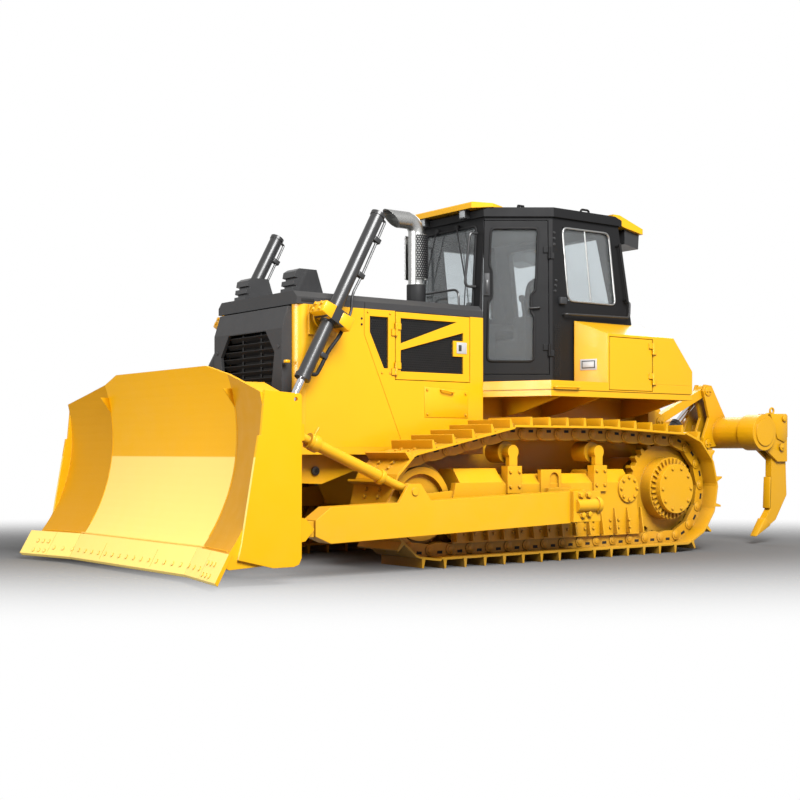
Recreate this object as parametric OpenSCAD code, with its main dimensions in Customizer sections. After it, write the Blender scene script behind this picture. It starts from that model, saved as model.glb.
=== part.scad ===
// Crawler bulldozer with a semi-U blade and a three-shank parallelogram ripper.
// Millimetres, X forward, Y to the machine's left, Z up, ground at z = 0.

/* [Tracks] */
// Distance between the two track centres
track_gauge = 2050; // [1900:10:2300]
// Width of one track shoe
shoe_w = 560; // [500:10:620]
// Chain length from pin to pin
chain_pitch = 216; // [200:1:230]
// Height of the pin line over the grouser tips
pin_h = 142; // [120:1:160]
// Height of the grouser bar over its plate
grouser_h = 72; // [50:1:80]
// Front of the ground run, the idler's centre
idler_x = 1400; // [1300:10:1500]
// Rear of the ground run, the sprocket's centre
sprocket_x = -1600; // [-1700:10:-1500]
// Radius of the pin line round the idler
idler_pin_r = 387; // [360:1:410]
// Radius of the pin line round the sprocket
sprocket_pin_r = 468; // [440:1:490]
// Front carrier roller
carrier_front_x = 438; // [300:1:500]
// Rear carrier roller
carrier_rear_x = -620; // [-700:10:-500]
// Height of the pin line over the carrier rollers
carrier_pin_z = 1126; // [1090:1:1140]
// Radius of a carrier roller
carrier_r = 104; // [90:1:110]
// Bottom rollers on each side
rollers = 7; // [5:1:8]
// Radius of a bottom roller
roller_r = 110; // [100:1:120]
// Distance from the pin line to the rail that rollers run on
rail_in = 60; // [50:1:70]
// Teeth of the sprocket
teeth = 27; // [23:2:29]
// Lugs round the sprocket's hub
hub_lugs = 32; // [24:1:40]

/* [Track frames] */
// Underside of the frame
frame_low = 451; // [430:1:470]
// Top of its housings over the recoil spring and the pivot
frame_top = 820; // [790:5:830]
// Top of its middle
frame_mid = 765; // [740:5:790]
// Rear pivot, along X
pivot_x = -1004; // [-1040:1:-980]
// Rear pivot, height
pivot_z = 622; // [600:1:640]

/* [Main frame] */
// Ground clearance under the belly
belly_z = 480; // [420:10:520]
// Half width of the case between the tracks
case_half = 450; // [400:10:520]
// Top of the sill that carries the engine
sill_z = 1000; // [960:10:1040]
// Half width over the engine bay's sides
bay_half = 650; // [600:10:700]
// Thickness of the engine bay's panels
panel_t = 40; // [30:1:50]
// Rear end of the engine bay
bay_rear = 330; // [300:10:400]
// Rear end of the main case
case_rear = -1900; // [-1950:10:-1850]

/* [Nose] */
// Front face of the nose columns
nose_x = 2330; // [2250:10:2400]
// Rounding of the nose columns
nose_r = 90; // [70:5:100]
// Front face of the grille
grille_x = 2425; // [2400:5:2440]
// Half width of the grille
grille_half = 560; // [540:5:560]
// Height where the grille starts to lean back
lean_z = 1980; // [1950:5:2000]
// Louvres behind the grille
louvres = 14; // [10:1:14]
// Distance from louvre to louvre
louvre_step = 60; // [50:1:62]

/* [Hood and engine side] */
// Top of the hood
hood_top = 2290; // [2240:10:2350]
// Lower edge of the hood's side band
hood_side = 2180; // [2150:5:2190]
// Inner edge of the lamp boxes on the hood
lamp_y = 290; // [260:5:320]
// Width of a lamp box
lamp_w = 190; // [160:5:200]
// Seam of the nose panel at the hood
seam_top_x = 1660; // [1650:5:1700]
// Height where that seam starts to slope
seam_bend_z = 1960; // [1920:5:1980]
// Seam of the nose panel at the sill
seam_low_x = 1240; // [1220:5:1260]
// Engine door's hinge line
door_hinge_x = 1330; // [1320:1:1340]
// Engine door's rear edge
door_rear_x = 490; // [480:1:500]
// Engine door's lower edge
door_low = 1590; // [1580:1:1600]
// Depth of the mesh windows
mesh_in = 26; // [20:1:30]

/* [Exhaust] */
// Centre of the pipe, along X
exhaust_x = 711; // [690:1:740]
// Centre of the pipe, to the left
exhaust_y = 150; // [100:5:200]
// Radius of the pipe
exhaust_r = 74; // [65:1:78]
// Height of the dark socket on the hood
socket_h = 214; // [180:1:230]
// Height of the elbow's start over the hood
elbow_h = 685; // [640:5:720]
// Bend of the elbow
elbow_r = 110; // [105:1:130]
// Length of the outlet past the elbow
exhaust_tip = 255; // [220:5:280]
// Radius of the heat shield
shield_r = 106; // [100:1:115]

/* [Deck and tanks] */
// Top of the deck
deck_top = 1600; // [1560:10:1640]
// Depth of the deck's skirt
deck_h = 140; // [120:5:160]
// Half width over the deck
deck_half = 1250; // [1240:5:1290]
// Where the deck reaches its full width
deck_corner = 50; // [20:5:80]
// Rear end of the deck and tanks
deck_rear = -1830; // [-1850:5:-1810]
// Thickness of the deck's plates
deck_t = 25; // [20:1:30]
// Outer top edge of the side tanks
tank_top = 2050; // [2020:5:2080]
// Front outer corner of the side tanks
tank_front = -663; // [-680:1:-640]
// Hinge line of the tool box door
tank_hinge = -1265; // [-1280:1:-1240]

/* [Cab] */
// Front corner, along X
cab_ax = 275; // [260:5:290]
// Front corner, half width
cab_ay = 470; // [450:5:480]
// Door's rear corner, along X
cab_bx = -300; // [-310:5:-290]
// Half width over the side windows
cab_by = 900; // [890:5:905]
// Rear wall at the floor
cab_rear_low = -1470; // [-1480:5:-1460]
// Rear wall at the roof
cab_rear_top = -1165; // [-1180:5:-1150]
// Underside of the roof
cab_top = 3130; // [3120:5:3170]
// Thickness of the cab's walls
cab_wall = 60; // [55:1:65]
// Height of the roof panel
roof_h = 85; // [80:1:95]
// Lifting lugs, along X
lug_x = -250; // [-300:5:-200]
// Lifting lugs, half distance
lug_y = 520; // [480:5:560]
// Radius of a lug's eye
lug_r = 22; // [18:1:26]

/* [Blade] */
// Point of the cutting edge, along X
edge_x = 3553; // [3540:1:3570]
// Clearance of the cutting edge over the ground
edge_z = 34; // [20:1:60]
// Height of the blade
blade_top = 1624; // [1580:1:1660]
// Top of the blade's corners
corner_top = 1394; // [1370:1:1400]
// Half length of the blade's level top edge
top_half = 785; // [700:5:850]
// Half width over the end plates
blade_half = 1704; // [1690:1:1720]
// How far the end bits stand past the end plates
edge_over = 75; // [60:1:85]
// Thickness of the cutting edge
edge_t = 30; // [25:1:40]
// Half length of the middle cutting edges
edge_half = 1388; // [1340:1:1420]
// Where the wings bend forward
wing_y = 1100; // [1080:5:1120]
// Turn of the wings
wing_a = 12; // [10:0.5:13]
// Radius of the moldboard
mold_r = 1375; // [1300:5:1500]

/* [Push arms] */
// Centre of the arm's trunnion, along X
trunnion_x = -100; // [-150:10:0]
// Height of the arm's trunnion
trunnion_z = 489; // [480:1:500]
// Radius of the trunnion's ball
ball_r = 88; // [80:1:90]
// Half distance between the push arms
arm_y = 1450; // [1445:1:1460]
// Width of a push arm
arm_w = 170; // [160:1:174]
// Pin between arm and blade, along X
ball_x = 2850; // [2840:1:2860]
// Pin between arm and blade, height
ball_z = 385; // [375:1:395]
// Lower pin of the brace, along X
brace_x = 1800; // [1780:1:1820]
// Lower pin of the brace, height
brace_z = 650; // [645:1:660]
// Upper pin of the brace, along X
brace_top_x = 2890; // [2880:1:2900]
// Upper pin of the brace, height
brace_top_z = 1108; // [1095:1:1120]

/* [Lift cylinders] */
// Half distance between the lift cylinders
lift_y = 800; // [790:1:810]
// Trunnion of the barrel, along X
yoke_x = 2099; // [2090:1:2110]
// Trunnion of the barrel, height
yoke_z = 2079; // [2065:1:2085]
// Eye of the rod, along X
eye_x = 2790; // [2780:1:2795]
// Eye of the rod, height
eye_z = 800; // [790:1:810]
// Outer radius of the barrel
lift_barrel_r = 58; // [54:1:62]
// Radius of the rod
lift_rod_r = 32; // [28:1:36]

/* [Ripper] */
// Front pins, along X
rip_x = -2110; // [-2140:1:-2100]
// Lower front pins, height
rip_low_z = 715; // [700:1:730]
// Distance between upper and lower pins
rip_drop = 555; // [540:1:570]
// Length of the links
rip_link = 820; // [800:1:840]
// Slope of the links at rest
rip_a = 24; // [20:1:26]
// Half distance between the outer shanks
shank_y = 1000; // [960:10:1050]
// Clearance of the shank points over the ground
shank_z = 81; // [60:1:120]
// Half thickness of a shank
shank_half = 38; // [30:1:45]
// Radius of the beam's tube
beam_r = 165; // [150:1:170]

/* [Fits] */
// Gap round a running pin
run = 1; // [0.5:0.1:2]
// Gap round a hinge pin or a seat
fit = 0.3; // [0.2:0.1:0.6]
// Gap round a panel that opens
door_gap = 6; // [5:1:8]
// Radius of a door's hinge knuckle
knuckle_r = 13; // [12:1:16]
// Height of a door hinge
hinge_h = 110; // [90:2:120]

// Sub-part to draw, or all

/* [Hidden] */
$fn = 48;
yellow = "#f2c20f";
frame_yellow = "#e8b60c";
edge_yellow = "#d9a90c";
grey = "#6d6f70";
cab_black = "#33363a";
black = "#242424";
iron = "#3a3a3a";
glass_grey = "#8b98a3";
chrome = "#d8d8d8";
track_y = track_gauge / 2;
idler_z = pin_h + idler_pin_r;
sprocket_z = pin_h + sprocket_pin_r;
shoe_out = pin_h - grouser_h;
shoe_in = rail_in - 10;
carrier_z = carrier_pin_z - carrier_r - rail_in;
roller_z = pin_h + rail_in + roller_r;
roller_front = idler_x - 380;
roller_run = 2100;
frame_in = track_y - 150;
frame_out = track_y + 150;
guard_t = 20;
hub_r = 300;
cover_r = 237;
bay_in = bay_half - panel_t;
sill_low = sill_z - 60;
roof_top = cab_top + roof_h;
deck_low = deck_top - deck_h;
deck_seam = deck_low + 52;
deck_a = atan2(deck_half - bay_half, bay_rear - deck_corner);
tank_in = cab_by + 20;
tank_inner_z = tank_top + 135;
tank_rear_z = tank_top - 309;
tank_lean = 0.88;
tank_slope_z = tank_top + 250;
tank_slope_x = deck_rear + (tank_slope_z - tank_rear_z) * tank_lean;
cab_low = deck_top;
cab_floor = cab_low + cab_wall;
glass_t = 6;
diag_l = norm([cab_ax - cab_bx, cab_by - cab_ay]);
diag_a = atan2(cab_by - cab_ay, cab_bx - cab_ax);
diag_out = [cab_by - cab_ay, cab_ax - cab_bx] / diag_l;
arm_in = arm_y - arm_w / 2;
arm_out = arm_y + arm_w / 2;
arm_front = ball_x - 110;
trunnion_room = 24;
pin_ball_r = 50;
arm_pin_r = 35;
brace_pin_r = 32;
brace_ball_r = 45;
brace_eye_r = 62;
brace_eye_bore = 42;
brace_slot = 56;
brace_a = atan2(brace_top_z - brace_z, brace_top_x - brace_x);
brace_len = norm([brace_top_x - brace_x, brace_top_z - brace_z]);
tilt_r = 85;
tilt_bore = 70;
tilt_rod_r = 40;
lift_a = atan2(yoke_z - eye_z, eye_x - yoke_x);
lift_len = norm([eye_x - yoke_x, eye_z - yoke_z]);
lift_bore = lift_barrel_r - 11;
lift_pin_r = 50;
bend_x = edge_x - 553;
edge_front = edge_x + edge_t * 0.88;
tip_front = bend_x + (edge_front - bend_x) / cos(wing_a) + (blade_half + edge_over - wing_y) * tan(wing_a);
rip_high_z = rip_low_z + rip_drop;
rip_rear_x = rip_x - rip_link * cos(rip_a);
rip_rise = rip_link * sin(rip_a);
rip_low_rear_z = rip_low_z + rip_rise;
rip_high_rear_z = rip_high_z + rip_rise;
rip_mid_rear_z = rip_low_rear_z + rip_drop / 2;
rip_face = case_rear - 100;
beam_x = rip_rear_x - 240;
beam_z = rip_low_rear_z + 115;
shank_x = beam_x - 490;
shank_pin_x = shank_x + 140;
shank_pin_z = 1010;
shank_pin_r = 28;
shank_top = 1150;
rip_cyl_x = rip_x - 20;
rip_cyl_z = rip_low_z + 130;
rip_eye_x = rip_rear_x - 40;
rip_eye_z = rip_high_rear_z - 95;
rip_cyl_a = atan2(rip_eye_z - rip_cyl_z, rip_cyl_x - rip_eye_x);
rip_cyl_len = norm([rip_cyl_x - rip_eye_x, rip_eye_z - rip_cyl_z]);
rip_plates = [270, 440, 555];
rip_plate = 30;
rip_cyl_y = (rip_plates[0] + rip_plate + rip_plates[1]) / 2;
rip_link_y = [475, 550];
rip_pins = [440, 585];
rip_low_r = 40;
rip_high_r = 35;
rip_barrel_r = 58;
rip_rod_r = 34;
rip_pin_r = 30;
mid_x = (tip_front + shank_x) / 2;
engine_hinges = [1680, 2020];
tank_hinges = [1650, 1935];
cab_hinges = [1900, 2800];

// the origin lies on the ground under the middle of the whole machine
module place() translate([-mid_x, 0, 0]) children();
module both() {
  children();
  mirror([0, 1, 0]) children();
}
// side view outline made thick between two Y places
module slab(y0, y1) translate([0, y1, 0]) rotate([90, 0, 0]) linear_extrude(y1 - y0) children();
// front view outline made thick between two X places
module wall(x0, x1) translate([x0, 0, 0]) rotate([90, 0, 90]) linear_extrude(x1 - x0) children();
module box(a, b) translate(a) cube(b - a);
module rod_y(x, z, y0, y1, r) translate([x, y1, z]) rotate([90, 0, 0]) cylinder(r = r, h = y1 - y0);
module rod_x(x0, x1, r) translate([x0, 0, 0]) rotate([0, 90, 0]) cylinder(r = r, h = x1 - x0);
module rod_z(x, y, z0, z1, r) translate([x, y, z0]) cylinder(r = r, h = z1 - z0);

// door hinge on an upright axis at the origin: the door lies at -X, its outer face at y = -knuckle_r - 1
hinge_pin_r = 6;
leaf_t = knuckle_r - 1;
module hinge_leaf(x0, x1, z0, z1) {
  rod_z(0, 0, z0, z1, knuckle_r);
  box([x0, -leaf_t - 2, z0], [x1, -2, z1]);
}
module hinge_door(zs) for (z = zs) difference() {
  union() {
    hinge_leaf(-55, -16, z + fit, z + hinge_h / 2 - 0.5);
    box([-17, -leaf_t - 0.5, z + fit], [0, -2, z + hinge_h / 2 - 0.5]);
  }
  rod_z(0, 0, z - 1, z + hinge_h, hinge_pin_r + fit);
}
module hinge_post(zs) for (z = zs) {
  hinge_leaf(0, 45, z - hinge_h / 2, z);
  rod_z(0, 0, z - 1, z + hinge_h / 2 + 7, hinge_pin_r);
}

// belt line: sprocket, idler, front carrier, rear carrier
wheels = [[sprocket_x, sprocket_z, sprocket_pin_r], [idler_x, idler_z, idler_pin_r],
  [carrier_front_x, carrier_z, carrier_r + rail_in], [carrier_rear_x, carrier_z, carrier_r + rail_in]];
function span(i) = let (p = wheels[i], q = wheels[(i + 1) % 4]) norm([q[0] - p[0], q[1] - p[1]]);
function side_a(i) = let (p = wheels[i], q = wheels[(i + 1) % 4])
  atan2(q[1] - p[1], q[0] - p[0]) - acos((p[2] - q[2]) / span(i));
function run_l(i) = let (p = wheels[i], q = wheels[(i + 1) % 4])
  sqrt(pow(span(i), 2) - pow(p[2] - q[2], 2));
function turn(i) = let (d = side_a(i) - side_a((i + 3) % 4)) d < 0 ? d + 360 : d;
function arc_l(i) = wheels[i][2] * turn(i) * PI / 180;
function sum(v, n) = n <= 0 ? 0 : v[n - 1] + sum(v, n - 1);
legs = [for (i = [0 : 3]) each [run_l(i), arc_l((i + 1) % 4)]];
belt = sum(legs, 8);
shoes = round(belt / chain_pitch);
step = belt / shoes;
half = step / 2;
function leg_of(s, k = 0) = k == 7 || s < sum(legs, k + 1) ? k : leg_of(s, k + 1);
// centre and outward angle of the belt at a length along it
function on_run(i, t) = let (a = side_a(i), w = wheels[i])
  [w[0] + w[2] * cos(a) - t * sin(a), w[1] + w[2] * sin(a) + t * cos(a), a];
function on_wheel(i, t) = let (w = wheels[(i + 1) % 4], a = side_a(i) + t / w[2] * 180 / PI)
  [w[0] + w[2] * cos(a), w[1] + w[2] * sin(a), a];
function at(s0) = let (s = s0 - floor(s0 / belt) * belt, k = leg_of(s), t = s - sum(legs, k), i = floor(k / 2))
  k % 2 == 0 ? on_run(i, t) : on_wheel(i, t);
function off(p, s, n) = [p[0] + n * cos(p[2]) - s * sin(p[2]), p[1] + n * sin(p[2]) + s * cos(p[2])];
lap = 4;
module shoe_ring() difference() {
  polygon([for (i = [0 : shoes - 1]) let (p = at(i * step)) each [
    off(p, -half, shoe_out), off(p, half - 52, shoe_out), off(p, half - 44, pin_h),
    off(p, half - 26, pin_h), off(p, half - 16, shoe_out - lap), off(p, half, shoe_out - lap)]]);
  polygon([for (i = [0 : shoes - 1]) let (p = at(i * step)) each
    [off(p, -half, shoe_in), off(p, half, shoe_in)]]);
}
module link_ring() difference() {
  polygon([for (i = [0 : shoes - 1]) let (p = at(i * step)) each
    [off(p, -half, shoe_in - 12), off(p, -half + 50, shoe_in + 5), off(p, half - 50, shoe_in + 5)]]);
  polygon([for (i = [0 : shoes - 1]) let (p = at(i * step), q = at(i * step + half)) each
    [off(p, -40, -rail_in), off(p, 40, -rail_in), off(q, 0, -rail_in + 14)]]);
}
link_y = [-115, 70];
link_t = 45;
module track() color(yellow) {
  slab(track_y - shoe_w / 2, track_y + shoe_w / 2) shoe_ring();
  for (d = link_y) slab(track_y + d, track_y + d + link_t) link_ring();
}

belly_front = 795;
nose_low = 700;
drive_y = 760;
drive_r = 250;
module hull() color(frame_yellow) {
  slab(-case_half, case_half) polygon([[2200, sill_low], [2200, nose_low], [1960, nose_low - 10],
    [1640, belly_front], [1480, belly_front], [1300, belly_z], [-1800, belly_z], [case_rear, 600],
    [case_rear, sill_low]]);
  box([bay_rear, -bay_half, sill_low], [nose_x, bay_half, sill_z]);
  box([case_rear, -case_half, sill_low], [bay_rear, case_half, deck_low]);
  both() {
    rod_y(sprocket_x, sprocket_z, case_half - 10, drive_y, hub_r);
    rod_y(sprocket_x, sprocket_z, drive_y - 10, track_y - 40, drive_r);
  }
}
module engine() color(iron) box([800, -380, sill_z], [1900, 380, 1820]);
module radiator_core() color(black) box([2110, -bay_in, sill_z], [2230, bay_in, hood_side - 20]);

guard_front = nose_x - nose_r;
guard_edge = grille_half + 2;
module guard_plan() difference() {
  union() {
    translate([1200, bay_in]) square([guard_front - 1200, panel_t]);
    translate([guard_front, bay_half - nose_r]) circle(nose_r);
    translate([guard_front, guard_edge]) square([nose_r, bay_half - nose_r - guard_edge + 0.01]);
    translate([guard_front, bay_half - nose_r]) square([10, nose_r]);
  }
  translate([guard_front - 100, 400]) square([150, bay_in - 400]);
  translate([guard_front - 100, 400]) square([300, guard_edge - 400]);
}
module radiator_guard() color(yellow) both() {
  intersection() {
    translate([0, 0, sill_z]) linear_extrude(hood_side - sill_z) guard_plan();
    slab(300, 700) polygon([[nose_x + 10, sill_z], [nose_x + 10, hood_side], [seam_top_x, hood_side],
      [seam_top_x, seam_bend_z], [seam_low_x, sill_z]]);
  }
  difference() {
    union() {
      rod_y(yoke_x, yoke_z, bay_half - 20, bay_half + 40, 95);
      box([yoke_x - 130, bay_half - 1, yoke_z - 150], [yoke_x + 130, bay_half + 20, yoke_z + 95]);
    }
    rod_y(yoke_x, yoke_z, bay_half + 2, bay_half + 60, lift_pin_r + run);
  }
}

grille_t = 30;
grille_rear = nose_x - 40;
grille_top = hood_side - 15;
mask_side = [[307, 1970], [445, 1788], [400, 1515], [360, 1120]];
module mask_hole() polygon(concat(mask_side, [for (i = [3 : -1 : 0]) [-mask_side[i][0], mask_side[i][1]]]));
module grille_side(g) polygon([[grille_rear - g, sill_z + g], [grille_x - g, sill_z + g],
  [grille_x - g, lean_z - g / 3], [nose_x + 36 - g, grille_top - g], [grille_rear - g, grille_top - g]]);
module grille() color(grey) difference() {
  slab(-grille_half, grille_half) grille_side(0);
  slab(-grille_half + grille_t, grille_half - grille_t) grille_side(grille_t);
  wall(nose_x - 130, grille_x + 100) mask_hole();
}
louvre_x = grille_x - grille_t - fit;
louvre_low = 1128;
louvre_half = 480;
module grille_louvres() color(black) {
  for (i = [0 : louvres - 1]) translate([0, 0, louvre_low + i * louvre_step]) slab(-louvre_half, louvre_half)
    polygon([[louvre_x - 40, 0], [louvre_x, 34], [louvre_x, 40], [louvre_x - 40, 6]]);
  for (y = [-louvre_half, -150, 150, louvre_half]) box([louvre_x - 36, y - 12, louvre_low - 10],
    [louvre_x - 22, y + 12, louvre_low + louvres * louvre_step]);
}

hood_in = bay_half - 5;
module hood_front(g, low) polygon([[-hood_in + g, low], [-hood_in + g, hood_top - 50 - g / 2],
  [-hood_in + 55 + g / 2, hood_top - g], [hood_in - 55 - g / 2, hood_top - g],
  [hood_in - g, hood_top - 50 - g / 2], [hood_in - g, low]]);
module hood() color(grey) difference() {
  wall(bay_rear, nose_x + 5) hood_front(0, hood_side);
  wall(bay_rear - 10, nose_x - 30) hood_front(25, hood_side - 10);
}

// lamp boxes with three fins on the hood, two under the front visor, two boxes at the rear corners
lamp_fin = 65;
visor_x = 300;
function visor_under(x) = cab_top - 45 * (-1250 - x) / 262 - fit;
module hood_lamp() slab(lamp_y, lamp_y + lamp_w) translate([0, hood_top + fit]) polygon(concat(
  [[1960, 0], [2270, 0]],
  [for (i = [0 : 1]) each [[2268 - 12 * i, lamp_fin * i + 40], [2230 - 12 * i, lamp_fin * i + 46],
    [2230 - 12 * i, lamp_fin * i + 60], [2262 - 12 * i, lamp_fin * i + 66]]],
  [[2240, 180], [2200, 205], [2030, 205]]));
module lamps() color(black) both() {
  hood_lamp();
  box([228, 255, roof_top - 80], [visor_x - 15, 345, roof_top - fit]);
  slab(600, 860) polygon([[-1300, visor_under(-1300)], [-1300, cab_top - 150], [-1490, cab_top - 185],
    [-1500, visor_under(-1500)]]);
}

mesh_a = [[60, 532], [690, 532], [60, 312]];
mesh_b = [[60, 254], [765, 440], [765, 365], [650, 365], [650, 225], [765, 225], [765, 70], [60, 70]];
mesh_front = [[1600, 2120], [1600, 1985], [1450, 1680], [1405, 1680], [1405, 2120]];
module at_engine_hinge() translate([door_hinge_x - door_gap / 2, bay_half + knuckle_r + 1, 0]) children();
module engine_door() color(yellow) {
  at_engine_hinge() hinge_door(engine_hinges);
  difference() {
    slab(bay_in, bay_half) polygon([[door_hinge_x - door_gap, door_low], [door_rear_x, door_low],
      [door_rear_x, hood_side - door_gap], [door_hinge_x - door_gap, hood_side - door_gap]]);
    translate([door_hinge_x, 0, door_low]) mirror([1, 0, 0]) slab(bay_half - mesh_in, bay_half + 10) {
      polygon(mesh_a);
      polygon(mesh_b);
    }
  }
}
module side_panels() color(yellow) both() {
  at_engine_hinge() hinge_post(engine_hinges);
  difference() {
    slab(bay_in, bay_half) polygon([[seam_top_x - 3, hood_side], [seam_top_x - 3, seam_bend_z],
      [seam_low_x - 3, sill_z], [bay_rear, sill_z], [bay_rear, hood_side], [door_rear_x - door_gap, hood_side],
      [door_rear_x - door_gap, door_low - door_gap], [door_hinge_x, door_low - door_gap],
      [door_hinge_x, hood_side]]);
    slab(bay_half - mesh_in, bay_half + 10) polygon(mesh_front);
  }
}

elbow_z = hood_top + elbow_h;
shield_low = hood_top + 262;
shield_top = hood_top + 668;
module exhaust() color("#b9babb") {
  rod_z(exhaust_x, exhaust_y, hood_top + fit, hood_top + socket_h, exhaust_r + 11);
  rod_z(exhaust_x, exhaust_y, hood_top + socket_h - 1, elbow_z, exhaust_r);
  translate([exhaust_x + elbow_r, exhaust_y, elbow_z]) rotate([90, 0, 0]) rotate_extrude(angle = -90)
    translate([-elbow_r, 0]) circle(exhaust_r);
  translate([exhaust_x + elbow_r, exhaust_y, elbow_z + elbow_r]) difference() {
    rod_x(-12, exhaust_tip, exhaust_r + 4);
    rod_x(30, exhaust_tip + 10, exhaust_r - 4);
    translate([exhaust_tip, 0, exhaust_r + 4]) rotate([0, 45, 0]) translate([0, -200, -400])
      cube([400, 400, 800]);
  }
  translate([exhaust_x, exhaust_y, 0]) {
    difference() {
      rod_z(0, 0, shield_low, shield_top, shield_r);
      rod_z(0, 0, shield_low - 10, shield_top + 10, shield_r - 5);
      translate([0, 0, shield_low - 10]) linear_extrude(shield_top - shield_low + 20)
        polygon([[0, 0], [200, 240], [200, -240]]);
    }
    for (z = [shield_low + 40, shield_top - 60]) box([-shield_r + 2, -15, z], [-exhaust_r + 6, 15, z + 20]);
  }
}

function deck_side(d) = [[bay_rear, bay_half - d / cos(deck_a)],
  [deck_corner - d * tan(deck_a / 2), deck_half - d], [deck_rear + d, deck_half - d]];
function deck_plan(d) = let (p = deck_side(d)) concat(p, [for (i = [2 : -1 : 0]) [p[i][0], -p[i][1]]]);
module deck() color(yellow) {
  difference() {
    translate([0, 0, deck_low]) linear_extrude(deck_h) polygon(deck_plan(0));
    both() translate([0, 0, deck_low - 1]) linear_extrude(deck_h - deck_t)
      polygon([[bay_rear - 30, case_half], [bay_rear - 30, bay_half], [deck_corner - 10, deck_half - deck_t],
        [deck_rear + deck_t, deck_half - deck_t], [deck_rear + deck_t, case_half]]);
    // seam line round the skirt
    translate([0, 0, deck_seam]) linear_extrude(7) difference() {
      polygon(deck_plan(-5));
      polygon(deck_plan(9));
    }
    both() box([tank_hinge - door_gap, deck_half - 46, tank_door_low - door_gap],
      [tank_front - 20, deck_half + 10, deck_top + 1]);
  }
  both() for (x = [-1700, -600, -100]) wall(x, x + deck_t) polygon([[case_half, 1290], [740, 1330],
    [deck_half - deck_t, deck_low], [deck_half - deck_t, deck_top - 20], [case_half, deck_top - 20]]);
}
tank_door_low = deck_seam + 24;
tank_door_top = tank_top - 30;
module at_tank_hinge() translate([tank_hinge, deck_half + knuckle_r + 1, 0]) mirror([1, 0, 0]) children();
module tank_body() intersection() {
  slab(tank_in, deck_half) polygon([[tank_front + 106, deck_top], [tank_front + 106, tank_slope_z],
    [tank_slope_x, tank_slope_z], [deck_rear, tank_rear_z], [deck_rear, deck_top]]);
  translate([0, 0, deck_top]) linear_extrude(900) polygon([[tank_front + 106, tank_in], [tank_front, deck_half],
    [deck_rear, deck_half], [deck_rear, tank_in]]);
  wall(deck_rear, tank_front + 106) polygon([[tank_in, deck_top], [deck_half, deck_top], [deck_half, tank_top],
    [tank_in, tank_inner_z]]);
}
module tank() color(yellow) {
  at_tank_hinge() hinge_post(tank_hinges);
  difference() {
    tank_body();
    box([tank_hinge - door_gap, deck_half - 46, deck_top - 1],
      [tank_front - 20, deck_half + 10, tank_door_top + door_gap]);
    box([tank_hinge + 30, deck_half - 260, deck_top + 50], [tank_front - 50, deck_half - 40, tank_top - 50]);
  }
}
module tank_door() color(yellow) {
  at_tank_hinge() hinge_door(tank_hinges);
  box([tank_hinge + door_gap, deck_half - 40, tank_door_low], [tank_front - 26, deck_half, tank_door_top]);
}
module fuel_tank() color(yellow) slab(-tank_in, tank_in) polygon([[cab_rear_low - 50, deck_top],
  [cab_rear_low - 50, tank_top], [deck_rear + (tank_top - tank_rear_z) * tank_lean, tank_top],
  [deck_rear, tank_rear_z], [deck_rear, deck_top]]);

function diag_at(d) = diag_out[0] * cab_ax + diag_out[1] * cab_ay - d;
function plan(d) = let (f = cab_ax - d, s = cab_by - d, ay = (diag_at(d) - diag_out[0] * f) / diag_out[1],
  bx = (diag_at(d) - diag_out[1] * s) / diag_out[0], r = cab_rear_low + d)
  [[f, ay], [bx, s], [r, s], [r, -s], [bx, -s], [f, -ay]];
front_lean = 75;
module cab_side(d, top) polygon([[cab_ax - d, cab_low + d], [cab_rear_low + d, cab_low + d],
  [cab_rear_top + d, top], [cab_ax - front_lean - d, top]]);
module cab_block(d, top) intersection() {
  translate([0, 0, cab_low + d]) linear_extrude(top - cab_low - d) polygon(plan(d));
  slab(-1000, 1000) cab_side(d, top);
}
// along the slanting side: X runs from the front corner to the rear one, -Y is outside
module on_diag() translate([cab_ax, cab_ay, 0]) rotate([0, 0, diag_a]) children();
module door_outline(g) polygon([[62 + g, cab_low + 75 + g], [diag_l - 26 - g, cab_low + 75 + g],
  [diag_l - 40 - g, cab_top - 30 - g], [84 + g, cab_top - 30 - g]]);
module at_cab_hinge() translate([diag_l - 30, -knuckle_r - 1, 0]) mirror([0, 1, 0]) children();
module front_window() wall(100, 400)
  polygon([[-390, 1800], [390, 1800], [410, cab_top - 70], [-410, cab_top - 70]]);
module side_window() polygon([[-420, 3045], [-1030, 3050], [-1125, 2370], [-500, 2370]]);
module rear_window() wall(-1700, -1000) polygon([[-700, 2250], [700, 2250], [640, 3050], [-640, 3050]]);
module cab_frame() color(cab_black) {
  both() on_diag() at_cab_hinge() hinge_post(cab_hinges);
  difference() {
    cab_block(0, cab_top);
    cab_block(cab_wall, cab_top + 1);
    front_window();
    both() on_diag() slab(-60, 120) door_outline(0);
    both() slab(cab_by - 100, cab_by + 100) side_window();
    rear_window();
  }
}
module cab_roof() color(cab_black) {
  intersection() {
    translate([0, 0, cab_top]) linear_extrude(roof_h) polygon(plan(-25));
    slab(-1000, 1000) polygon([[225, cab_top], [225, roof_top - 20], [180, roof_top], [-1100, roof_top],
      [-1190, roof_top - 30], [-1190, cab_top]]);
  }
  both() difference() {
    slab(lug_y - 10, lug_y + 10) polygon([[lug_x - 60, roof_top - 10], [lug_x + 60, roof_top - 10],
      [lug_x + 35, roof_top + 75], [lug_x - 35, roof_top + 75]]);
    rod_y(lug_x, roof_top + 38, lug_y - 20, lug_y + 20, lug_r);
  }
}
visor_h = 57;
visor_half = 600;
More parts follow.
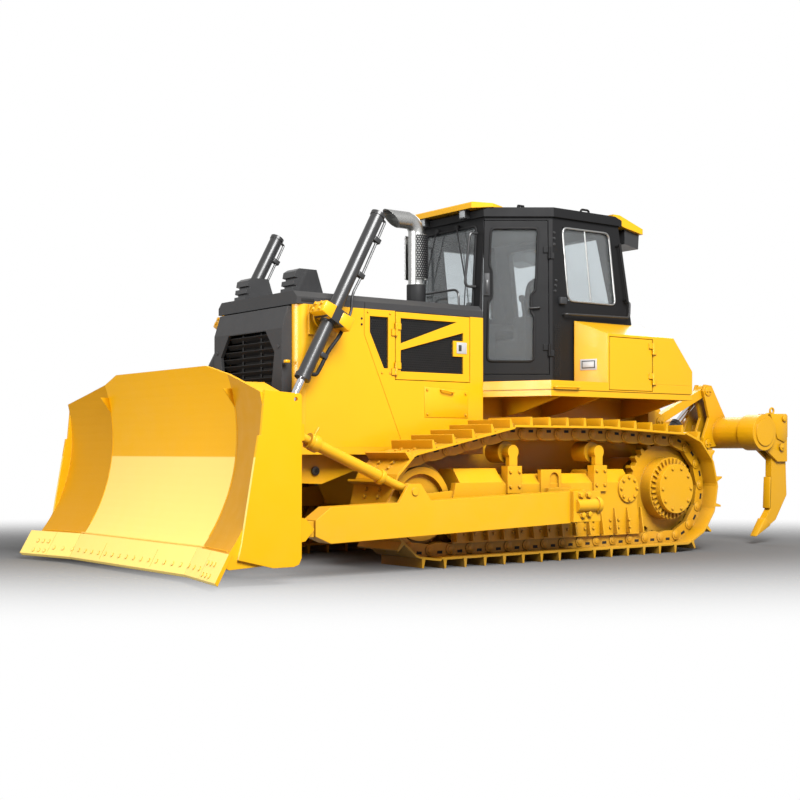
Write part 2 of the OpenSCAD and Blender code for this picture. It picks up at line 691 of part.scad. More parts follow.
module cab_visors() color(yellow) {
  intersection() {
    translate([0, 0, roof_top]) linear_extrude(visor_h + 10) polygon([[20, -visor_half], [172, -visor_half],
      [visor_x, -450], [visor_x, 450], [172, visor_half], [20, visor_half]]);
    slab(-visor_half, visor_half) polygon([[20, roof_top], [60, roof_top + 17],
      [visor_x - 5, roof_top + visor_h], [visor_x, roof_top + visor_h - 8], [visor_x, roof_top]]);
  }
  both() slab(visor_half - 40, cab_by) polygon([[-1190, cab_top + 20], [-1190, roof_top - 30], [-1100, roof_top],
    [-1100, roof_top + 26], [-1190, roof_top + 26], [-1512, cab_top + 8], [-1512, cab_top - 45],
    [-1250, cab_top]]);
}
glass_in = 25;
module cab_glass() color(glass_grey) {
  intersection() {
    front_window();
    slab(-500, 500) polygon([[cab_ax - glass_in, cab_low], [cab_ax - glass_in - glass_t, cab_low],
      [cab_ax - front_lean - glass_in - glass_t, cab_top], [cab_ax - front_lean - glass_in, cab_top]]);
  }
  both() slab(cab_by - glass_in, cab_by - glass_in + glass_t) side_window();
  intersection() {
    rear_window();
    slab(-800, 800) polygon([[cab_rear_low + glass_in, cab_low], [cab_rear_low + glass_in + glass_t, cab_low],
      [cab_rear_top + glass_in + glass_t, cab_top], [cab_rear_top + glass_in, cab_top]]);
  }
}
door_window = [[150, 3025], [585, 3025], [560, 2450], [520, 2420], [520, 2250], [552, 2210], [545, 1800],
  [115, 1800], [125, 2350], [160, 2390], [160, 2640], [135, 2680]];
module cab_door() color(cab_black) on_diag() {
  at_cab_hinge() hinge_door(cab_hinges);
  difference() {
    slab(0, 45) door_outline(door_gap);
    slab(-10, 60) polygon(door_window);
  }
}
module door_glass() color(glass_grey) on_diag() slab(18, 18 + glass_t) polygon(door_window);
seat_low = 2050;
back_lean = 0.17;
back_foot = -990;
back_top = 2740;
module cab_interior() color(black) {
  box([-1000, -260, cab_floor], [-500, 260, seat_low]);
  slab(-250, 250) polygon([[back_foot - 20, seat_low - 10], [back_foot, seat_low - 10],
    [back_foot - (back_top - seat_low + 10) * back_lean, back_top], [back_foot - 130, back_top]]);
  both() box([-900, 300, cab_floor], [-350, 480, 2250]);
  box([-60, -380, cab_floor], [90, 380, 2150]);
}
module seat() color(black) {
  slab(-240, 240) polygon([[-960, seat_low + fit], [-520, seat_low + fit], [-490, seat_low + 60],
    [-520, seat_low + 115], [-960, seat_low + 115]]);
  translate([back_foot + 2 * fit, 0, seat_low]) slab(-230, 230) polygon([[-140 * back_lean, 130], [105, 130],
    [70 - 680 * back_lean, 670], [-680 * back_lean, 670]]);
}
rail_foot = 820;
rail_head = 1380;
module grab_rails() color(cab_black) both() {
  rail_a = atan2(cab_rear_top - cab_rear_low, cab_top - cab_low);
  translate([cab_rear_low + 70, cab_by + 55, cab_low]) rotate([0, rail_a, 0]) {
    rod_z(0, 0, rail_foot, rail_head, 14);
    for (z = [rail_foot + 20, rail_head - 20]) translate([0, 0, z]) rotate([90, 0, 0]) cylinder(r = 12, h = 55);
  }
}

// track frame: chamfered housings in front and behind, a lower middle, guards with ribs, carrier posts
chamfer_y = 95;
module frame_section(top, lean) polygon([[frame_in, frame_low], [frame_in, top - 30], [frame_in + 30, top],
  [frame_out - chamfer_y, top], [frame_out, top - lean], [frame_out, frame_low]]);
module frame_beam() {
  wall(560, 1040) frame_section(frame_top, 120);
  wall(-560, 570) frame_section(frame_mid, 85);
  wall(-1040, -550) frame_section(frame_top - 20, 120);
  slab(frame_in, frame_out) polygon([[-1030, frame_low], [-1030, 740], [-1100, 730], [-1150, 640],
    [-1130, frame_low]]);
  slab(frame_out - 60, frame_out) polygon([[1030, frame_low], [1100, frame_low], [1113, 580], [1084, 700],
    [1030, 700]]);
  rod_y(pivot_x, pivot_z, frame_out - 5, frame_out + 18, 133);
}
module roller_guards() {
  for (y = [frame_in, frame_out - guard_t]) slab(y, y + guard_t) polygon([[1120, 190], [1120, 260],
    [1060, frame_low + 9], [-1130, frame_low + 9], [-1180, 260], [-1180, 190]]);
  for (i = [0 : rollers - 1]) for (d = [-90, 90])
    translate([roller_front - i * roller_run / (rollers - 1) + d, 0, 0]) wall(-7, 7)
      polygon([[frame_out - 5, 440], [frame_out - 5, 205], [frame_out + 55, 205], [frame_out + 15, 440]]);
}
module idler_yokes() for (y = [track_y - 135, track_y + 105]) slab(y, y + 30)
  polygon([[1030, 440], [1470, 450], [1490, idler_z], [1470, 610], [1030, 640]]);
clamp_r = 62;
module carrier_post(x) {
  slab(frame_out - 60, frame_out + 25) polygon([[x - 83, 600], [x + 83, 600], [x + 83, frame_top + 19],
    [x - 83, frame_top + 19]]);
  box([x - 47, frame_out - 45, frame_top], [x + 47, frame_out + 5, carrier_z]);
  rod_y(x, carrier_z, frame_out - 45, frame_out + 5, clamp_r);
}
module arch_block() difference() {
  slab(frame_out - 30, frame_out + 15) polygon([[119, 600], [119, 805], [-129, 805], [-129, 600]]);
  rod_y(-45, 724, frame_out - 5, frame_out + 20, 55);
  box([-100, frame_out - 5, 645], [10, frame_out + 20, 724]);
}
module arm_trunnion() {
  rod_y(trunnion_x, trunnion_z, frame_out - 10, arm_y - 60, 70);
  translate([trunnion_x, arm_y, trunnion_z]) sphere(ball_r);
  box([trunnion_x - 170, frame_out - 5, frame_low + 4], [trunnion_x + 170, frame_out + 60, 640]);
}
module track_frame() color(frame_yellow) difference() {
  union() {
    frame_beam();
    roller_guards();
    idler_yokes();
    carrier_post(carrier_front_x);
    carrier_post(carrier_rear_x);
    arch_block();
    arm_trunnion();
  }
  rod_y(sprocket_x, sprocket_z, track_y - 45, track_y + 45, sprocket_pin_r + 16);
}
idler_r = idler_pin_r - rail_in;
module idlers() color(yellow) both() difference() {
  union() {
    rod_y(idler_x, idler_z, track_y - 80, track_y + 80, idler_r - 18);
    rod_y(idler_x, idler_z, track_y - 30, track_y + 30, idler_r + 15);
    rod_y(idler_x, idler_z, track_y - 105, track_y + 105, 70);
  }
  for (s = [-1, 1]) translate([0, s * 60, 0]) difference() {
    rod_y(idler_x, idler_z, track_y - 25, track_y + 25, 250);
    rod_y(idler_x, idler_z, track_y - 30, track_y + 30, 110);
  }
}
tooth_foot = 400;
tooth_tip = sprocket_pin_r + 6;
module sprocket_ring() difference() {
  union() {
    circle(sprocket_pin_r - 40, $fn = 2 * teeth);
    for (i = [0 : teeth - 1]) rotate(i * 360 / teeth)
      polygon([[tooth_foot, -34], [tooth_tip, -14], [tooth_tip, 14], [tooth_foot, 34]]);
  }
  circle(drive_r + 2);
}
module sprockets() color(yellow) both() {
  slab(track_y - 35, track_y + 35) translate([sprocket_x, sprocket_z]) sprocket_ring();
  difference() {
    union() {
      rod_y(sprocket_x, sprocket_z, track_y - 36, track_y + 160, hub_r);
      rod_y(sprocket_x, sprocket_z, track_y + 159, track_y + 230, cover_r);
      slab(track_y + 150, track_y + 180) translate([sprocket_x, sprocket_z]) for (i = [0 : hub_lugs - 1])
        rotate((i + 0.5) * 360 / hub_lugs) translate([cover_r - 10, -11]) square([hub_r - cover_r, 22]);
    }
    rod_y(sprocket_x, sprocket_z, track_y - 60, track_y + 30, drive_r + 0.5);
  }
}
tread_y = [-115, 60];
module rollers() color(frame_yellow) both() {
  for (i = [0 : rollers - 1]) translate([roller_front - i * roller_run / (rollers - 1), 0, roller_z]) {
    rod_y(0, 0, frame_in + guard_t, frame_out - guard_t, 60);
    for (d = tread_y) rod_y(0, 0, track_y + d, track_y + d + 55, roller_r - fit);
  }
  for (x = [carrier_front_x, carrier_rear_x]) {
    rod_y(x, carrier_z, track_y + tread_y[0], track_y + tread_y[1], carrier_r - 8);
    rod_y(x, carrier_z, track_y + tread_y[1] - 1, frame_out - 45 - fit, 55);
  }
}
module pivot_shafts() color(frame_yellow) both() {
  rod_y(pivot_x, pivot_z, case_half, frame_in, 120);
  box([900, case_half, 560], [1040, frame_in, 700]);
}

// push arm: box beam, bearing cap outside the trunnion, ears and cross pin of the brace
cap_out = arm_y + 125;
cap_r = 62;
ear_t = 29;
module arm_body() {
  slab(arm_in, arm_out) polygon([[trunnion_x + 60, trunnion_z - 140], [2600, 270], [arm_front, 330],
    [arm_front, 450], [2600, 545], [trunnion_x + 60, trunnion_z + 133]]);
  rod_y(trunnion_x, trunnion_z, arm_in, arm_out, 145);
  box([trunnion_x - 135, arm_out - 5, trunnion_z - 135], [trunnion_x + 195, cap_out, trunnion_z + 133]);
  translate([trunnion_x, cap_out - 20, trunnion_z + 8]) {
    rod_x(-82, 160, cap_r);
    rod_x(-122, -80, cap_r + 12);
  }
  rod_y(ball_x, ball_z, arm_y - 65, arm_y + 65, 85);
  box([arm_front - 40, arm_y - 65, ball_z - 60], [ball_x, arm_y + 65, ball_z + 60]);
  for (y = [arm_y - brace_slot - ear_t, arm_y + brace_slot]) slab(y, y + ear_t) polygon([[brace_x - 190, 540],
    [brace_x + 190, 520], [brace_x + 60, brace_z + 60], [brace_x - 60, brace_z + 60]]);
}
module push_arm(bore, front_bore) color(frame_yellow) {
  rod_y(brace_x, brace_z, arm_y - 95, arm_y + 95, brace_pin_r);
  translate([brace_x, arm_y, brace_z]) sphere(brace_ball_r);
  difference() {
    arm_body();
    rod_y(trunnion_x, trunnion_z, arm_in - 10, arm_y + bore + 2, bore);
    rod_y(ball_x, ball_z, arm_y - 80, arm_y + 80, front_bore);
    box([brace_x - 110, arm_y - brace_slot, brace_z - 80], [brace_x + 170, arm_y + brace_slot, brace_z + 200]);
  }
}
module at_brace(s) translate([brace_x, s * arm_y, brace_z]) rotate([0, -brace_a, 0]) children();
module brace() color(yellow) at_brace(1) difference() {
  union() {
    rod_y(0, 0, -40, 40, brace_eye_r);
    rod_x(50, 320, 36);
    rod_x(300, brace_len - 170, 46);
    rod_x(brace_len - 190, brace_len - 150, 62);
    rod_x(brace_len - 160, brace_len - 50, 34);
    rod_y(brace_len, 0, -40, 40, brace_eye_r);
  }
  rod_y(0, 0, -50, 50, brace_ball_r + fit);
  rod_y(brace_len, 0, -50, 50, brace_eye_bore);
}
tilt_head = 760;
module tilt_barrel() color(black) at_brace(-1) difference() {
  union() {
    rod_y(0, 0, -40, 40, brace_eye_r);
    rod_x(50, 160, 46);
    rod_x(150, tilt_head, tilt_r);
    rod_x(tilt_head - 60, tilt_head, tilt_r + 10);
  }
  rod_x(190, tilt_head - 40, tilt_bore);
  rod_x(tilt_head - 60, tilt_head + 20, tilt_rod_r + fit);
  rod_y(0, 0, -50, 50, brace_ball_r + fit);
}
module tilt_rod() color(chrome) at_brace(-1) difference() {
  union() {
    rod_x(400, 460, tilt_bore - fit);
    rod_x(459, brace_len - 55, tilt_rod_r);
    rod_y(brace_len, 0, -40, 40, brace_eye_r);
  }
  rod_y(brace_len, 0, -50, 50, brace_eye_bore);
}

// moldboard outline: arc between the top and the cutting edge's seat
mold_t = 28;
mold_low = [edge_x - 113, edge_z + 206];
mold_top = [edge_x - 292, blade_top];
mold_mid = (mold_low + mold_top) / 2;
mold_half = norm(mold_top - mold_low) / 2;
mold_dir = (mold_top - mold_low) / (2 * mold_half);
mold_c = mold_mid + [mold_dir[1], -mold_dir[0]] * sqrt(pow(mold_r, 2) - pow(mold_half, 2));
mold_a = asin(mold_half / mold_r);
mold_tilt = atan2(mold_dir[1], mold_dir[0]) + 90;
mold_steps = 20;
edge_tip = [edge_x, edge_z];
edge_dir = (edge_tip - mold_low) / norm(edge_tip - mold_low);
edge_out = [-edge_dir[1], edge_dir[0]];
function mold_pt(r, i) = let (a = mold_tilt + mold_a * (1 - 2 * i / mold_steps)) mold_c + r * [cos(a), sin(a)];
module mold_section() polygon(concat([for (i = [0 : mold_steps]) mold_pt(mold_r, i)],
  [for (i = [mold_steps : -1 : 0]) mold_pt(mold_r + mold_t, i)]));
blade_rear = 2970;
module back_box() {
  polygon([mold_low, mold_pt(mold_r + 10, 3), [3210, 480], [3170, 560], [blade_rear, 560], [blade_rear, 200],
    [3100, 150], mold_low + edge_dir * 90 - edge_out * 60, mold_low + edge_dir * 90]);
  polygon([[3138, 1180], [3194, 1480], [3020, 1480], [2990, 1180]]);
}
// centre and wings of a prism that follows the blade's plan, lapped at the seam or parted from it
seam_lap = 12;
seam_gap = 1.5;
reach = 1200;
function wing_x(x, y) = bend_x + (x - bend_x) / cos(wing_a) + (y - wing_y) * tan(wing_a);
module at_seam(y) translate([bend_x, wing_y, -100]) rotate([0, 0, -wing_a / 2]) translate([-reach, y, 0])
  cube([2 * reach, 1000, 2 * reach]);
module bent(lap) {
  difference() {
    slab(-wing_y - 300, wing_y + 300) children();
    both() at_seam(lap);
  }
  both() difference() {
    translate([bend_x, wing_y, 0]) rotate([0, 0, -wing_a]) translate([-bend_x, 0, 0]) slab(-300, reach)
      children();
    at_seam(-1000 - lap);
  }
}
front_in = blade_half - 20;
module blade_front() wall(bend_x - 1000, bend_x + 1000) polygon([[-front_in, 0], [front_in, 0],
  [front_in, corner_top], [top_half, blade_top], [-top_half, blade_top], [-front_in, corner_top]]);
module end_plate() difference() {
  slab(blade_half - 25, blade_half) polygon([[3285, corner_top + 11], [3316, 1083], [3335, 1078], [3470, 316],
    [3500, 200], [3213, 130], [3040, 130], [2995, 145], [blade_rear + 3, 191], [blade_rear, corner_top - 25],
    [blade_rear + 12, corner_top - 8]]);
  rod_y(3022, corner_top - 50, blade_half - 40, blade_half + 10, 16);
}
module blade() color(yellow) {
  translate([ball_x, arm_y, ball_z]) sphere(pin_ball_r);
  intersection() {
    bent(seam_lap) {
      mold_section();
      back_box();
    }
    blade_front();
  }
  both() {
    end_plate();
    for (d = [-115, 85]) slab(arm_y + d, arm_y + d + 30) polygon([[3070, ball_z - 120], [3070, ball_z + 120],
      [ball_x, ball_z + 85], [ball_x - 80, ball_z], [ball_x, ball_z - 85]]);
    rod_y(ball_x, ball_z, arm_y - 115, arm_y + 115, arm_pin_r);
    for (d = [-80, 55]) slab(arm_y + d, arm_y + d + 25) polygon([[wing_x(3145, arm_y + d), 980],
      [wing_x(3145, arm_y + d), 1260], [brace_top_x - 55, brace_top_z + 60], [brace_top_x - 55, brace_top_z - 60]]);
    rod_y(brace_top_x, brace_top_z, arm_y - 80, arm_y + 80, brace_pin_r);
    for (d = [-145, 120]) slab(lift_y + d, lift_y + d + 25) polygon([[3230, 550], [3137, 1000],
      [eye_x - 60, eye_z + 70], [eye_x - 60, eye_z - 60], [2980, 540]]);
  }
}
edge_end = blade_half + edge_over;
module cutting_edges() color(edge_yellow) difference() {
  intersection() {
    bent(-seam_gap) polygon([edge_tip, mold_low, mold_low + edge_out * edge_t,
      edge_tip + edge_out * edge_t - edge_dir * 10]);
    wall(bend_x - 1000, bend_x + 1000)
      polygon([[-edge_end, 0], [edge_end, 0], [edge_end, 600], [-edge_end, 600]]);
  }
  both() box([bend_x, edge_half - seam_gap, 0], [bend_x + 1000, edge_half + seam_gap, 600]);
}

lift_head = 600;
lift_foot = -1010;
module at_lift() translate([yoke_x, lift_y, yoke_z]) rotate([0, lift_a, 0]) children();
module lift_barrel() color(black) {
  at_lift() difference() {
    union() {
      rod_x(lift_foot, lift_head, lift_barrel_r);
      rod_x(lift_head - 40, lift_head, lift_barrel_r + 10);
      rod_x(lift_foot, lift_foot + 30, lift_barrel_r + 6);
      rod_x(-70, 70, lift_barrel_r + 14);
      box([-60, -90, -95], [60, 95, 95]);
    }
    rod_x(lift_foot + 50, lift_head - 35, lift_bore);
    rod_x(lift_head - 40, lift_head + 20, lift_rod_r + run);
  }
  rod_y(yoke_x, yoke_z, bay_half + 5, lift_y - 60, lift_pin_r);
}
lift_stroke = 1420;
module lift_rod() color(chrome) at_lift() {
  rod_x(lift_len - lift_stroke, lift_len - lift_stroke + 50, lift_bore - 2 * fit);
  rod_x(lift_len - lift_stroke + 49, lift_len - 55, lift_rod_r);
  difference() {
    rod_y(lift_len, 0, -40, 40, 68);
    rod_y(lift_len, 0, -50, 50, 30);
  }
}

module ripper_mount() color(frame_yellow) {
  box([rip_face, -620, 560], [case_rear, 620, 1400]);
  both() {
    for (y = rip_plates) slab(y, y + rip_plate) polygon([[rip_face + 5, 560], [rip_x - 60, rip_low_z - 60],
      [rip_x - 70, rip_low_z + 170], [rip_x - 60, rip_high_z - 50], [rip_x - 55, rip_high_z + 60],
      [rip_face + 5, 1400]]);
    rod_y(rip_x, rip_low_z, rip_pins[0], rip_pins[1], rip_low_r);
    rod_y(rip_x, rip_high_z, rip_pins[0], rip_pins[1], rip_high_r);
    rod_y(rip_cyl_x, rip_cyl_z, rip_plates[0], rip_plates[1] + rip_plate, rip_pin_r);
  }
}
module rip_bar(z, w, r) {
  rod_y(rip_x, z, rip_link_y[0], rip_link_y[1], r);
  rod_y(rip_rear_x, z + rip_rise, rip_link_y[0], rip_link_y[1], r);
  slab(rip_link_y[0], rip_link_y[1]) polygon([[rip_x, z + w], [rip_x, z - w], [rip_rear_x, z + rip_rise - w],
    [rip_rear_x, z + rip_rise + w]]);
}
tie_at = 0.65;
tie_r = 40;
module ripper_lower_link() color(frame_yellow) difference() {
  union() {
    both() rip_bar(rip_low_z, 60, 70);
    rod_y(rip_x + tie_at * (rip_rear_x - rip_x), rip_low_z + tie_at * rip_rise, -480, 480, tie_r);
  }
  rod_y(rip_x, rip_low_z, -600, 600, rip_low_r + fit);
  rod_y(rip_rear_x, rip_low_rear_z, -600, 600, rip_low_r + fit);
}
module ripper_upper_links() color(frame_yellow) both() difference() {
  rip_bar(rip_high_z, 50, 65);
  rod_y(rip_x, rip_high_z, 400, 600, rip_high_r + fit);
  rod_y(rip_rear_x, rip_high_rear_z, 400, 600, rip_high_r + fit);
}
pocket_in = shank_half + fit;
pocket_low = 860;
shank_places = [-shank_y, 0, shank_y];
module shank_pocket() {
  for (d = [-pocket_in - rip_plate, pocket_in]) slab(d, d + rip_plate) polygon([[beam_x - 60, beam_z + 150],
    [beam_x - 60, beam_z - 150], [beam_x - 300, pocket_low], [beam_x - 460, pocket_low],
    [beam_x - 460, shank_top + 30], [beam_x - 250, beam_z + 150]]);
  rod_y(shank_pin_x, shank_pin_z, -shank_half - 45, shank_half + 45, shank_pin_r);
  difference() {
    rod_y(beam_x - 160, beam_z + 165, pocket_in + 2, pocket_in + rip_plate - 2, 45);
    rod_y(beam_x - 160, beam_z + 175, pocket_in, pocket_in + rip_plate, 18);
  }
}
module ripper_beam() color(frame_yellow) {
  for (y = shank_places) translate([0, y, 0]) shank_pocket();
  rod_y(beam_x, beam_z, -shank_y, shank_y, beam_r);
  both() {
    rod_y(beam_x, beam_z, shank_y - 75, shank_y + 130, beam_r + 22);
    rod_y(beam_x, beam_z, shank_y + 129, shank_y + 142, beam_r - 25);
    for (y = rip_plates) slab(y, y + rip_plate) polygon([[beam_x + 100, beam_z - 140],
      [rip_rear_x + 75, rip_low_rear_z - 50], [rip_rear_x + 75, rip_low_rear_z + 60],
      [rip_rear_x - 20, rip_mid_rear_z], [rip_rear_x + 70, rip_high_rear_z],
      [rip_rear_x + 40, rip_high_rear_z + 70], [rip_rear_x - 60, rip_high_rear_z + 60],
      [beam_x - 60, beam_z + 140]]);
    rod_y(rip_rear_x, rip_low_rear_z, rip_pins[0], rip_pins[1], rip_low_r);
    rod_y(rip_rear_x, rip_high_rear_z, rip_pins[0], rip_pins[1], rip_high_r);
  }
}
module ripper_shanks() color(yellow) for (y = shank_places) difference() {
  slab(y - shank_half, y + shank_half) polygon([[shank_x + 509, shank_z], [shank_x + 272, shank_z + 279],
    [shank_x + 259, 600], [shank_x + 249, shank_top], [shank_x + 29, shank_top], [shank_x, shank_z + 424],
    [shank_x + 185, shank_z + 166]]);
  rod_y(shank_pin_x, shank_pin_z, y - 100, y + 100, shank_pin_r + fit);
}
rip_head = 640;
module at_rip(s) translate([rip_cyl_x, s * rip_cyl_y, rip_cyl_z]) rotate([0, rip_cyl_a, 0]) mirror([1, 0, 0])
  children();
module ripper_barrels() color(black) for (s = [-1, 1]) at_rip(s) difference() {
  union() {
    rod_y(0, 0, -50, 50, 65);
    rod_x(40, rip_head, rip_barrel_r);
    rod_x(rip_head - 40, rip_head, rip_barrel_r + 6);
  }
  rod_x(100, rip_head - 35, rip_barrel_r - 12);
  rod_x(rip_head - 40, rip_head + 20, rip_rod_r + fit);
  rod_y(0, 0, -60, 60, rip_pin_r + fit);
}
module ripper_rods() color(chrome) for (s = [-1, 1]) at_rip(s) {
  rod_x(rip_cyl_len - rip_head, rip_cyl_len - rip_head + 50, rip_barrel_r - 12 - 2 * fit);
  rod_x(rip_cyl_len - rip_head + 49, rip_cyl_len - 45, rip_rod_r);
  rod_y(rip_cyl_len, 0, -40, 40, 60);
}

place() hull();
place() engine();
place() radiator_core();
place() radiator_guard();
place() grille();
place() grille_louvres();
place() hood();
place() lamps();
place() side_panels();
place() engine_door();  // engine_door_left
place() mirror([0, 1, 0]) engine_door();  // engine_door_right
place() exhaust();
place() deck();
place() tank();  // tank_left
place() mirror([0, 1, 0]) tank();  // tank_right
place() tank_door();  // tank_door_left
place() mirror([0, 1, 0]) tank_door();  // tank_door_right
place() fuel_tank();
place() cab_frame();
place() cab_roof();
place() cab_visors();
place() cab_glass();
place() cab_door();  // cab_door_left
place() mirror([0, 1, 0]) cab_door();  // cab_door_right
place() door_glass();  // door_glass_left
place() mirror([0, 1, 0]) door_glass();  // door_glass_right
place() cab_interior();
place() seat();
place() grab_rails();
place() track_frame();  // track_frame_left
place() mirror([0, 1, 0]) track_frame();  // track_frame_right
place() track();  // track_left
place() mirror([0, 1, 0]) track();  // track_right
place() idlers();
place() sprockets();
place() rollers();
place() pivot_shafts();
place() push_arm(ball_r + fit, pin_ball_r + fit);  // push_arm_left
place() mirror([0, 1, 0])  // push_arm_right
  push_arm(ball_r + trunnion_room, arm_pin_r + fit);
place() brace();
place() tilt_barrel();
place() tilt_rod();
place() blade();
place() cutting_edges();
place() lift_barrel();  // lift_barrel_left
place() mirror([0, 1, 0]) lift_barrel();  // lift_barrel_right
place() lift_rod();  // lift_rod_left
place() mirror([0, 1, 0]) lift_rod();  // lift_rod_right
place() ripper_mount();
place() ripper_lower_link();
place() ripper_upper_links();
place() ripper_beam();
place() ripper_shanks();
place() ripper_barrels();
place() ripper_rods();
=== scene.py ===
import math
import bpy
from mathutils import Matrix, Vector


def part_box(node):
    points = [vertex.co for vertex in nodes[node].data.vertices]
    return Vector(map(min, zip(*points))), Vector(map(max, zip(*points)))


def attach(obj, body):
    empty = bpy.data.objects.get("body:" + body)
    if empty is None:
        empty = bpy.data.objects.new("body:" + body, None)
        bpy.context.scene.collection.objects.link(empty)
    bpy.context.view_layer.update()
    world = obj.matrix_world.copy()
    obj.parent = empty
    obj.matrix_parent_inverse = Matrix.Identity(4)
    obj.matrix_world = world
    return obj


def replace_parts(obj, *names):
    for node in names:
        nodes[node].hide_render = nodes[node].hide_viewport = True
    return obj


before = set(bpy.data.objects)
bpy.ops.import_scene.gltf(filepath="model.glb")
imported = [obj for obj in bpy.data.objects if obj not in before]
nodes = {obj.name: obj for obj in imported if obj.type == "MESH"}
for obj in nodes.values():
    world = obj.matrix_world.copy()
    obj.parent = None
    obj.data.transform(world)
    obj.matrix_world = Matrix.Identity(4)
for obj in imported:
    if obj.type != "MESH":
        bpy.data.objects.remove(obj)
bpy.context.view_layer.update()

drawnEngineRear = 0.8  # where the drawing puts the engine's rear face, ahead of its own zero
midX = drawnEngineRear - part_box("engine")[0].x


def spot(x, y, z):
    # a place on the drawing, in millimetres, as a point of the frame
    return Vector((x / 1000 - midX, y / 1000, z / 1000))


def tone(r, g, b):
    # screen colour, 0 to 255, as the linear colour that a shader takes
    def lin(c):
        c /= 255
        return c / 12.92 if c <= 0.04045 else ((c + 0.055) / 1.055) ** 2.4
    return (lin(r), lin(g), lin(b), 1.0)


# shared shader groups

def newGroup(name, inputs, outputs):
    group = bpy.data.node_groups.new(name, "ShaderNodeTree")
    for label, kind, start in inputs:
        socket = group.interface.new_socket(label, in_out="INPUT", socket_type="NodeSocket" + kind)
        socket.default_value = start
    for label, kind in outputs:
        group.interface.new_socket(label, in_out="OUTPUT", socket_type="NodeSocket" + kind)
    give, take = group.nodes.new("NodeGroupInput"), group.nodes.new("NodeGroupOutput")
    return group, give.outputs, take.inputs


def feed(tree, inputs, sources):
    # a source is a socket to link or a plain value
    for slot, source in sources:
        if isinstance(source, bpy.types.NodeSocket):
            tree.links.new(source, inputs[slot])
        else:
            inputs[slot].default_value = source


def addNode(tree, kind, sources=(), **settings):
    node = tree.nodes.new("ShaderNode" + kind)
    for key, value in settings.items():
        setattr(node, key, value)
    feed(tree, node.inputs, sources)
    return node


def calc(tree, operation, *sources, **settings):
    return addNode(tree, "Math", enumerate(sources), operation=operation, **settings).outputs[0]


def remap(tree, value, start, stop, low=0.0, high=1.0, **settings):
    ends = [("From Min", start), ("From Max", stop), ("To Min", low), ("To Max", high)]
    return addNode(tree, "MapRange", [("Value", value)] + ends, **settings).outputs[0]


def blend(tree, share, paint, over):
    return addNode(tree, "Mix", [(0, share), (6, paint), (7, over)], data_type="RGBA").outputs[2]


def noise(tree, place, scale, detail, rough=0.5):
    sources = [("Vector", place), ("Scale", scale), ("Detail", detail), ("Roughness", rough)]
    return addNode(tree, "TexNoise", sources).outputs["Fac"]


def objectPlace(tree):
    return addNode(tree, "TexCoord").outputs["Object"]


def split(tree, vector):
    return addNode(tree, "SeparateXYZ", [(0, vector)]).outputs


def useGroup(tree, group, **values):
    return addNode(tree, "Group", values.items(), node_tree=group).outputs


def makeMottle():
    inputs = [("Color", "Color", (1, 1, 1, 1)), ("Scale", "Float", 1.5), ("Amount", "Float", 0.04)]
    group, give, take = newGroup("paintMottle", inputs, [("Color", "Color")])
    swing = calc(group, "SUBTRACT", noise(group, objectPlace(group), give["Scale"], 5.0), 0.5)
    gain = calc(group, "MULTIPLY_ADD", swing, give["Amount"], 1.0)
    shade = addNode(group, "HueSaturation", [("Value", gain), ("Color", give["Color"])])
    group.links.new(shade.outputs["Color"], take["Color"])
    return group


def makePeel():
    # the fine ripple of sprayed paint, or the pits of a casting where Scale is lower
    group, give, take = newGroup("surfacePeel", [("Scale", "Float", 260.0), ("Depth", "Float", 1.0)],
                                 [("Height", "Float")])
    fine = noise(group, objectPlace(group), give["Scale"], 3.0)
    group.links.new(calc(group, "MULTIPLY", fine, give["Depth"]), take["Height"])
    return group


def makeEdge():
    # a small round on every edge, and a broken mask along it for worn paint
    inputs = [("Radius", "Float", 0.006), ("Breakup", "Float", 9.0), ("Amount", "Float", 0.3)]
    group, give, take = newGroup("edgeRound", inputs, [("Normal", "Vector"), ("Mask", "Float")])
    soft = addNode(group, "Bevel", [("Radius", give["Radius"])], samples=4).outputs["Normal"]
    plain = addNode(group, "NewGeometry").outputs["Normal"]
    along = addNode(group, "VectorMath", [(0, soft), (1, plain)], operation="DOT_PRODUCT").outputs["Value"]
    bend = remap(group, along, 0.985, 0.9)
    broken = remap(group, noise(group, objectPlace(group), give["Breakup"], 6.0), 0.5, 0.68)
    mask = calc(group, "MULTIPLY", calc(group, "MULTIPLY", bend, broken), give["Amount"])
    feed(group, take, [("Normal", soft), ("Mask", mask)])
    return group


def makeDust():
    # a thin film on what faces up, and near the ground
    group, give, take = newGroup("dustFilm", [("Amount", "Float", 0.15), ("Top", "Float", 1.2)], [("Mask", "Float")])
    up = remap(group, split(group, addNode(group, "NewGeometry").outputs["Normal"])["Z"], 0.2, 1.0, 0.0, 0.7)
    place = objectPlace(group)
    low = remap(group, split(group, place)["Z"], give["Top"], 0.0, 0.0, 0.8)
    patch = remap(group, noise(group, place, 3.5, 8.0, 0.65), 0.35, 0.75)
    lie = calc(group, "MULTIPLY", calc(group, "MAXIMUM", up, low), patch)
    group.links.new(calc(group, "MULTIPLY", lie, give["Amount"]), take["Mask"])
    return group


mottle, peel, edge, dust = makeMottle(), makePeel(), makeEdge(), makeDust()
print("shader groups ready")


# finishes

def newFinish(name):
    finish = bpy.data.materials.new(name)
    finish.use_nodes = True
    tree = finish.node_tree
    return finish, tree, tree.nodes["Principled BSDF"].inputs


usualCoat = dict(patch=1.5, vary=0.05, round=0.006, wear=0.25, under=tone(120, 118, 112), dust=0.1, dustTop=1.2,
                 dustColor=tone(176, 160, 128), smear=0.06, peelScale=260.0, peelDepth=0.4, bump=0.12, metal=0.0,
                 coat=0.0, coatRough=0.08, specular=0.5)
# dark tone for painted shade in corners and recesses
grimeTone = tone(66, 46, 6)


